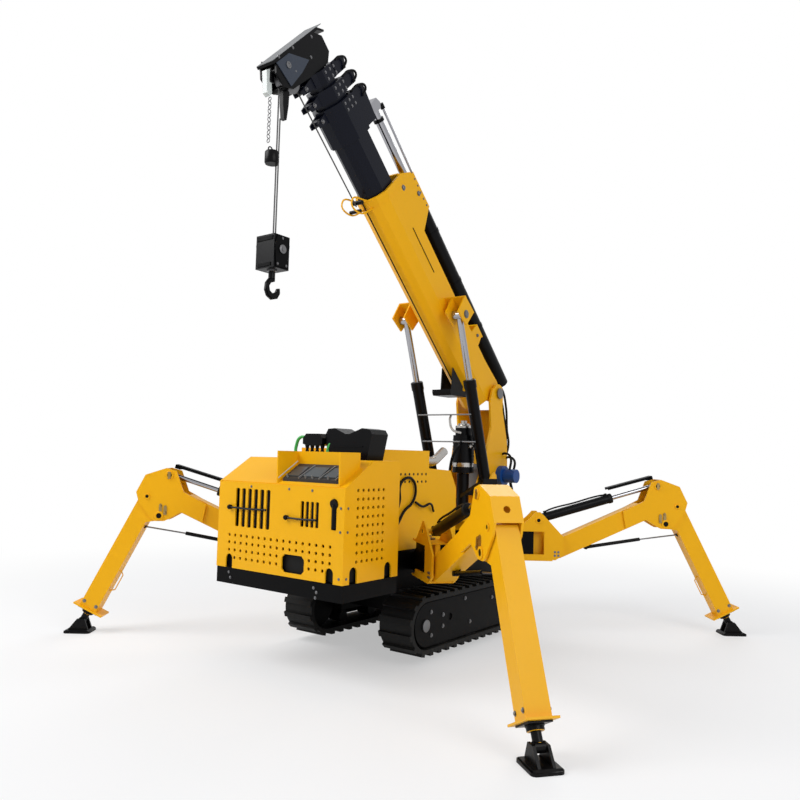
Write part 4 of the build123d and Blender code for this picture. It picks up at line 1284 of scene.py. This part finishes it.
@dataclass
class BoomFittings:
    """Fittings on the boom, its sections and its head."""

    shop: Shop
    rig: Rig
    rope_n: float = -0.415
    head_pin: Spot = (3.882, -0.491)
    heads: tuple[float, float, float] = (3.42, 3.56, 3.70)

    def build(self) -> None:
        """Makes the boom's fittings."""
        self.frame = self.rig.boom
        self._base()
        self._rope()
        self._sections()
        self._head()

    def _base(self) -> None:
        """Adds the rest pad, the rope guide, pins and the long oil pipes to the base section."""
        frame = self.frame
        yellow = Piece("boom_base_brackets", Paint.YELLOW, "boom")
        for side in SIDES:
            yellow.pipe([frame.at(2.50, -0.30, side * 0.05), frame.at(2.58, -0.50, side * 0.055),
                         frame.at(2.70, -0.52, side * 0.055), frame.at(2.585, -0.31, side * 0.05)], 0.008)
        yellow.done(self.shop)
        dark = Piece("boom_base_dark", Paint.BLACK, "boom")
        pad = Frame(Vector((-0.44, 0, 2.335)), FORWARD, UP)
        dark.plate(pad, [(-0.15, -0.03), (0.135, -0.03), (0.15, 0.0), (0.15, 0.03), (-0.15, 0.03)], -0.11,
                   0.11)
        for side in SIDES:
            dark.plate(pad, [(-0.14, 0.028), (0.06, 0.028), (0.045, 0.26), (-0.15, 0.08)], side * 0.07,
                       side * 0.058)
        dark.bar(frame.at(0.45, -0.322, 0.012), frame.at(2.60, -0.322, 0.012), 0.006, 8)
        dark.bar(frame.at(1.62, -0.045, -0.1685), frame.at(2.12, -0.045, -0.1685), 0.004, 8)
        dark.bar(frame.at(2.62, self.rope_n + 0.03, 0.05), frame.at(2.62, self.rope_n + 0.03, -0.05), 0.02)
        dark.bar(frame.at(2.58, -0.47, 0.06), frame.at(2.58, -0.47, -0.06), 0.016)
        for n in (0.16, 0.19):
            dark.pipe([frame.at(0.75, n, 0.07), frame.at(1.4, n, 0.07), frame.at(1.95, n + 0.01, 0.07),
                       frame.at(2.2, 0.25, 0.1)], 0.01)
        dark.lathe(frame.at(2.20, 0.405), frame.right,
                   [(0, 0.088), (0.02, 0.092), (0.12, 0.092), (0.135, 0.07)], 28)
        for s in (0.6, 1.2, 1.8):
            dark.lathe(frame.at(s, 0.405), frame.right, [(0, 0.087), (0.03, 0.087)], 28)
        dark.done(self.shop)
        pins = Piece("boom_base_pins", Paint.STEEL, "boom")
        for side in SIDES:
            for s, n, r in ((2.463, 0.09, 0.02), (2.3, 0.27, 0.018), (0.62, 0.24, 0.014)):
                y = 0.161 if s > 1 else 0.106
                pins.pin(frame.at(s, n, side * y), frame.out * side, r)
            for i in range(6):
                pins.bolt(frame.at(2.15 + 0.07 * i, 0.31, side * 0.161), frame.out * side, 0.007)
        pins.done(self.shop)

    def _rope(self) -> None:
        """Strings the hoist rope from guide to guide as straight spans fixed where they stand."""
        frame = self.frame
        stops = [("boom", 2.60), ("section_2", self.heads[0] - 0.052), ("section_3", self.heads[1] - 0.052),
                 ("section_4", self.heads[2] - 0.052), ("tip", 3.76)]
        for (low_body, low), (high_body, high) in zip(stops, stops[1:]):
            end_n = self.rope_n if high_body != "tip" else -0.585
            start, end = frame.at(low, self.rope_n, 0.012), frame.at(high, end_n, 0.012)
            span = Piece(f"rope_span_{high_body}", Paint.ROPE, low_body)
            span.bar(start, end, 0.006, 8)
            span.done_between(self.shop)

    def _sections(self) -> None:
        """Adds hoses, bolts and rollers to the sections' heads."""
        frame = self.frame
        for number, head in enumerate(self.heads, start=2):
            step = 0.022 * (number - 1)
            body = f"section_{number}"
            half = 0.165 - step + 0.026
            bolts = Piece(f"section_bolts_{number}", Paint.STEEL, body)
            for side in SIDES:
                for s in (head - 0.085, head - 0.03):
                    for n in (-0.15, -0.08, -0.02):
                        bolts.bolt(frame.at(s, n, side * half), frame.out * side, 0.009)
                bolts.pin(frame.at(head - 0.052, self.rope_n + 0.036, side * 0.052), frame.out * side, 0.014)
            bolts.done(self.shop)
            hose = Piece(f"section_hose_{number}", Paint.BLACK, body)
            top = 0.235 - 0.045 * (number - 2)
            for side in SIDES:
                hose.pipe([frame.at(head - 0.10, top - 0.05, side * 0.12),
                           frame.at(head - 0.05, top + 0.01, side * 0.14),
                           frame.at(head, top - 0.06, side * 0.135), frame.at(head, 0.03, side * 0.13)],
                          0.010)
            hose.done(self.shop)
        rods = Piece("telescope_thin_rod", Paint.CHROME, "section_2")
        rods.bar(frame.at(2.3, 0.505, -0.02), frame.at(3.08, 0.515, -0.02), 0.012, 12)
        rods.done(self.shop)
        grip = Piece("telescope_grip", Paint.BLACK, "section_2")
        grip.lathe(frame.at(3.07, 0.515, -0.02), frame.right, [(0, 0.022), (0.05, 0.022)], 14)
        grip.bar(frame.at(3.10, 0.515, -0.02), frame.at(3.13, 0.42, 0.0), 0.014, 12)
        grip.lathe(frame.at(3.0, 0.405), frame.right, [(0, 0.05), (0.03, 0.05)], 24)
        grip.done(self.shop)

    def _head(self) -> None:
        """Adds the head's bosses, the dead end's socket, the limit chain and its weight."""
        frame = self.frame
        pins = Piece("head_pins", Paint.STEEL, "tip")
        s, n = self.head_pin
        for side in SIDES:
            pins.lathe(frame.at(s, n, side * 0.097), frame.out * side,
                       [(0, 0.026), (0.008, 0.026), (0.008, 0.016), (0.004, 0.014)], 24)
            for ds, dn in ((0.06, 0.42), (-0.06, 0.30), (0.08, 0.15), (-0.07, 0.05), (0.09, -0.05)):
                pins.bolt(frame.at(s + ds, n + dn, side * 0.091), frame.out * side, 0.009)
        pins.done(self.shop)
        dark = Piece("head_rollers", Paint.BLACK, "tip")
        dark.bar(frame.at(3.76, -0.60, -0.075), frame.at(3.76, -0.60, 0.075), 0.022)
        dark.bar(frame.at(3.90, -0.62, -0.075), frame.at(3.90, -0.62, 0.075), 0.016)
        dark.box((2.165, -0.035, 4.52), (2.205, 0.035, 4.68))
        dark.done(self.shop)
        pale = Piece("head_pale_fitting", Paint.PALE, "tip")
        lug = Frame(Vector((2.0, 0, 4.0)), FORWARD, UP)
        pale.plate(lug, [(0.175, 0.44), (0.195, 0.41), (0.225, 0.43), (0.24, 0.60), (0.21, 0.62),
                         (0.19, 0.60)], -0.024, 0.024)
        pale.done(self.shop)
        cap = Piece("head_cover_plate", Paint.GREY, "tip")
        cap.plate(frame, [(3.973, -0.62), (3.978, -0.62), (3.978, 0.118), (3.973, 0.118)], -0.09, 0.09)
        cap.done(self.shop)
        slate = Piece("head_side_plates", Paint.SLATE, "tip")
        for side in SIDES:
            slate.plate(frame, [(3.948, -0.42), (3.816, -0.233), (3.775, -0.38), (3.747, -0.574),
                                (3.948, -0.6)],
                        side * 0.089, side * 0.098)
        slate.done(self.shop)
        line = Piece("dead_end_socket", Paint.BLACK, "hook_line")
        rope = Vector((2.04, 0.02, 0))
        side = Frame(rope + UP * 4.3, FORWARD, UP)
        line.plate(side, [(-0.014, -0.02), (0.014, -0.02), (0.03, 0.1), (0.034, 0.21), (0.0, 0.235),
                          (-0.034, 0.21), (-0.03, 0.1)], -0.02, 0.02)
        line.done(self.shop)
        chain = Piece("limit_chain", Paint.STEEL, "hook_line")
        for i in range(11):
            axis = LEFT if i % 2 else FORWARD
            chain.hoop(Vector((2.19, 0.02, 4.39 - 0.033 * i)), axis, 0.0145, 0.0035, 12)
        chain.pipe([(2.19, 0.02, 4.42), (2.188, 0.02, 4.46), (2.186, 0.01, 4.5)], 0.004)
        chain.done(self.shop)
        weight = Piece("limit_weight", Paint.BLACK, "hook_line")
        weight.lathe(Vector((2.145, 0.02, 3.89)), UP,
                     [(0, 0.05), (0.012, 0.056), (0.09, 0.056), (0.1, 0.05)], 24)
        weight.hoop(Vector((2.165, 0.02, 4.0)), LEFT, 0.02, 0.005)
        weight.done(self.shop)


@dataclass
class BlockFittings:
    """The hook block's cheeks, end bars, pins and neck ring."""

    shop: Shop

    def build(self) -> None:
        """Makes the block's fittings."""
        low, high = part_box("hook_block")
        mid = (Vector(low) + Vector(high)) / 2
        cheeks = Piece("block_cheeks", Paint.FRAME, "hook_line")
        frame = Frame(Vector((mid.x, 0, mid.z)), FORWARD, UP)
        for side in SIDES:
            cheeks.plate(frame, [(-0.06, -0.12), (0.06, -0.12), (0.075, 0.06), (0.05, 0.125), (-0.05, 0.125),
                                 (-0.075, 0.06)], side * 0.098, side * 0.106)
        for x in (low[0] - 0.006, high[0] - 0.006):
            cheeks.box((x, -0.085, mid.z + 0.085), (x + 0.012, 0.085, mid.z + 0.115))
            cheeks.box((x, -0.07, mid.z - 0.115), (x + 0.012, 0.07, mid.z - 0.09))
        cheeks.done(self.shop)
        pins = Piece("block_pins", Paint.STEEL, "hook_line")
        for side in SIDES:
            way = Vector((0, side, 0))
            pins.lathe(Vector((mid.x, side * 0.104, mid.z + 0.02)), way,
                       [(0, 0.034), (0.01, 0.034), (0.014, 0.018), (0.02, 0.018)], 24)
            for x, z in ((-0.045, -0.1), (0.045, -0.1), (0.0, 0.105)):
                pins.bolt(Vector((mid.x + x, side * 0.106, mid.z + z)), way, 0.007)
        pins.lathe(Vector((mid.x, 0, low[2] + 0.002)), -UP, [(0, 0.04), (0.012, 0.04), (0.016, 0.03)], 24)
        pins.done(self.shop)


class Studio:
    """The floor, the soft lamps, the pale surroundings and the camera."""

    def __init__(self) -> None:
        """Sets the colour view and builds the studio."""
        bpy.context.scene.view_settings.view_transform = "Standard"
        self._world()
        self._floor()
        self._lamps()
        self._camera()

    @staticmethod
    def _world() -> None:
        """Makes surroundings that look white and light the crane softly."""
        world = bpy.data.worlds.new("studio")
        world.use_nodes = True
        world.node_tree.nodes.clear()
        bpy.context.scene.world = world
        nodes = NodeTree(world.node_tree)
        seen = nodes.direct_rays()
        soft = nodes.add("ShaderNodeBackground", Color=(0.9, 0.93, 1.0, 1), Strength=0.42)
        white = nodes.add("ShaderNodeBackground", Color=(1, 1, 1, 1), Strength=1.0)
        mixed = nodes.add("ShaderNodeMixShader", i0=seen, i1=soft.outputs[0], i2=white.outputs[0])
        nodes.add("ShaderNodeOutputWorld", Surface=mixed.outputs[0])

    @staticmethod
    def _floor() -> None:
        """Lays a wide white floor that keeps the crane's shadow and fades to white further out."""
        mesh = bpy.data.meshes.new("floor")
        bm = bmesh.new()
        bmesh.ops.create_grid(bm, x_segments=1, y_segments=1, size=FLOOR_REACH)
        bm.to_mesh(mesh)
        bm.free()
        floor = bpy.data.objects.new("floor", mesh)
        bpy.context.scene.collection.objects.link(floor)
        made = bpy.data.materials.new("floor_white")
        made.use_nodes = True
        made.node_tree.nodes.clear()
        nodes = NodeTree(made.node_tree)
        grain = nodes.noise(nodes.add("ShaderNodeTexCoord").outputs["Object"], 0.6)
        shader = nodes.add("ShaderNodeBsdfPrincipled",
                           Base_Color=nodes.mix(grain, (0.86, 0.86, 0.86, 1), (0.9, 0.9, 0.9, 1)),
                           Roughness=0.8)
        glow = nodes.add("ShaderNodeEmission", Color=(1, 1, 1, 1), Strength=1.0)
        seen = nodes.direct_rays()
        spread = nodes.add("ShaderNodeVectorMath", i0=nodes.add("ShaderNodeTexCoord").outputs["Object"])
        spread.operation = "LENGTH"
        seen = nodes.maths("MULTIPLY", seen, nodes.ramp(spread.outputs["Value"], *FLOOR_FADE))
        mixed = nodes.add("ShaderNodeMixShader", i0=seen, i1=shader.outputs[0], i2=glow.outputs[0])
        nodes.add("ShaderNodeOutputMaterial", Surface=mixed.outputs[0])
        mesh.materials.append(made)

    @staticmethod
    def _lamps() -> None:
        """Hangs three large soft lamps."""
        for name, at, aim, size, power in LAMPS:
            lamp = bpy.data.lights.new(name, "AREA")
            lamp.shape, lamp.size, lamp.energy = "DISK", size, power
            obj = bpy.data.objects.new(name, lamp)
            obj.location = at
            obj.rotation_euler = (Vector(aim) - Vector(at)).to_track_quat("-Z", "Y").to_euler()
            bpy.context.scene.collection.objects.link(obj)

    @staticmethod
    def _camera() -> None:
        """Stands the camera where the photograph was taken from."""
        forward = Vector(CAMERA_WAY).normalized()
        right = forward.cross(UP).normalized()
        up = right.cross(forward)
        roll = math.radians(CAMERA_ROLL)
        across = right * math.cos(roll) + up * math.sin(roll)
        upright = up * math.cos(roll) - right * math.sin(roll)
        camera = bpy.data.cameras.new("camera")
        camera.sensor_fit, camera.sensor_width, camera.lens = "HORIZONTAL", 36.0, CAMERA_LENS
        camera.clip_start, camera.clip_end = 0.05, 200.0
        obj = bpy.data.objects.new("camera", camera)
        turn = Matrix((across, upright, -forward)).transposed().to_4x4()
        obj.matrix_world = Matrix.Translation(CAMERA_PLACE) @ turn
        bpy.context.scene.collection.objects.link(obj)
        bpy.context.scene.camera = obj


def main() -> None:
    """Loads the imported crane, dresses it, and sets the studio up."""
    logging.basicConfig(level=logging.INFO, format="%(message)s")
    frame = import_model()
    shop = Shop()
    shop.coat_nodes(frame["nodes"])
    rig = Rig(frame["joints"])
    BonnetSkin(shop).build()
    ControlPocket(shop).build()
    CarrierFittings(shop).build()
    for corner in Corner:
        OutriggerFittings(shop, rig, corner).build()
    UpperFittings(shop, rig).build()
    BoomFittings(shop, rig).build()
    BlockFittings(shop).build()
    Studio()
    LOG.info("crane dressed with %d nodes", len(frame["nodes"]))


if __name__ == "__main__":
    main()
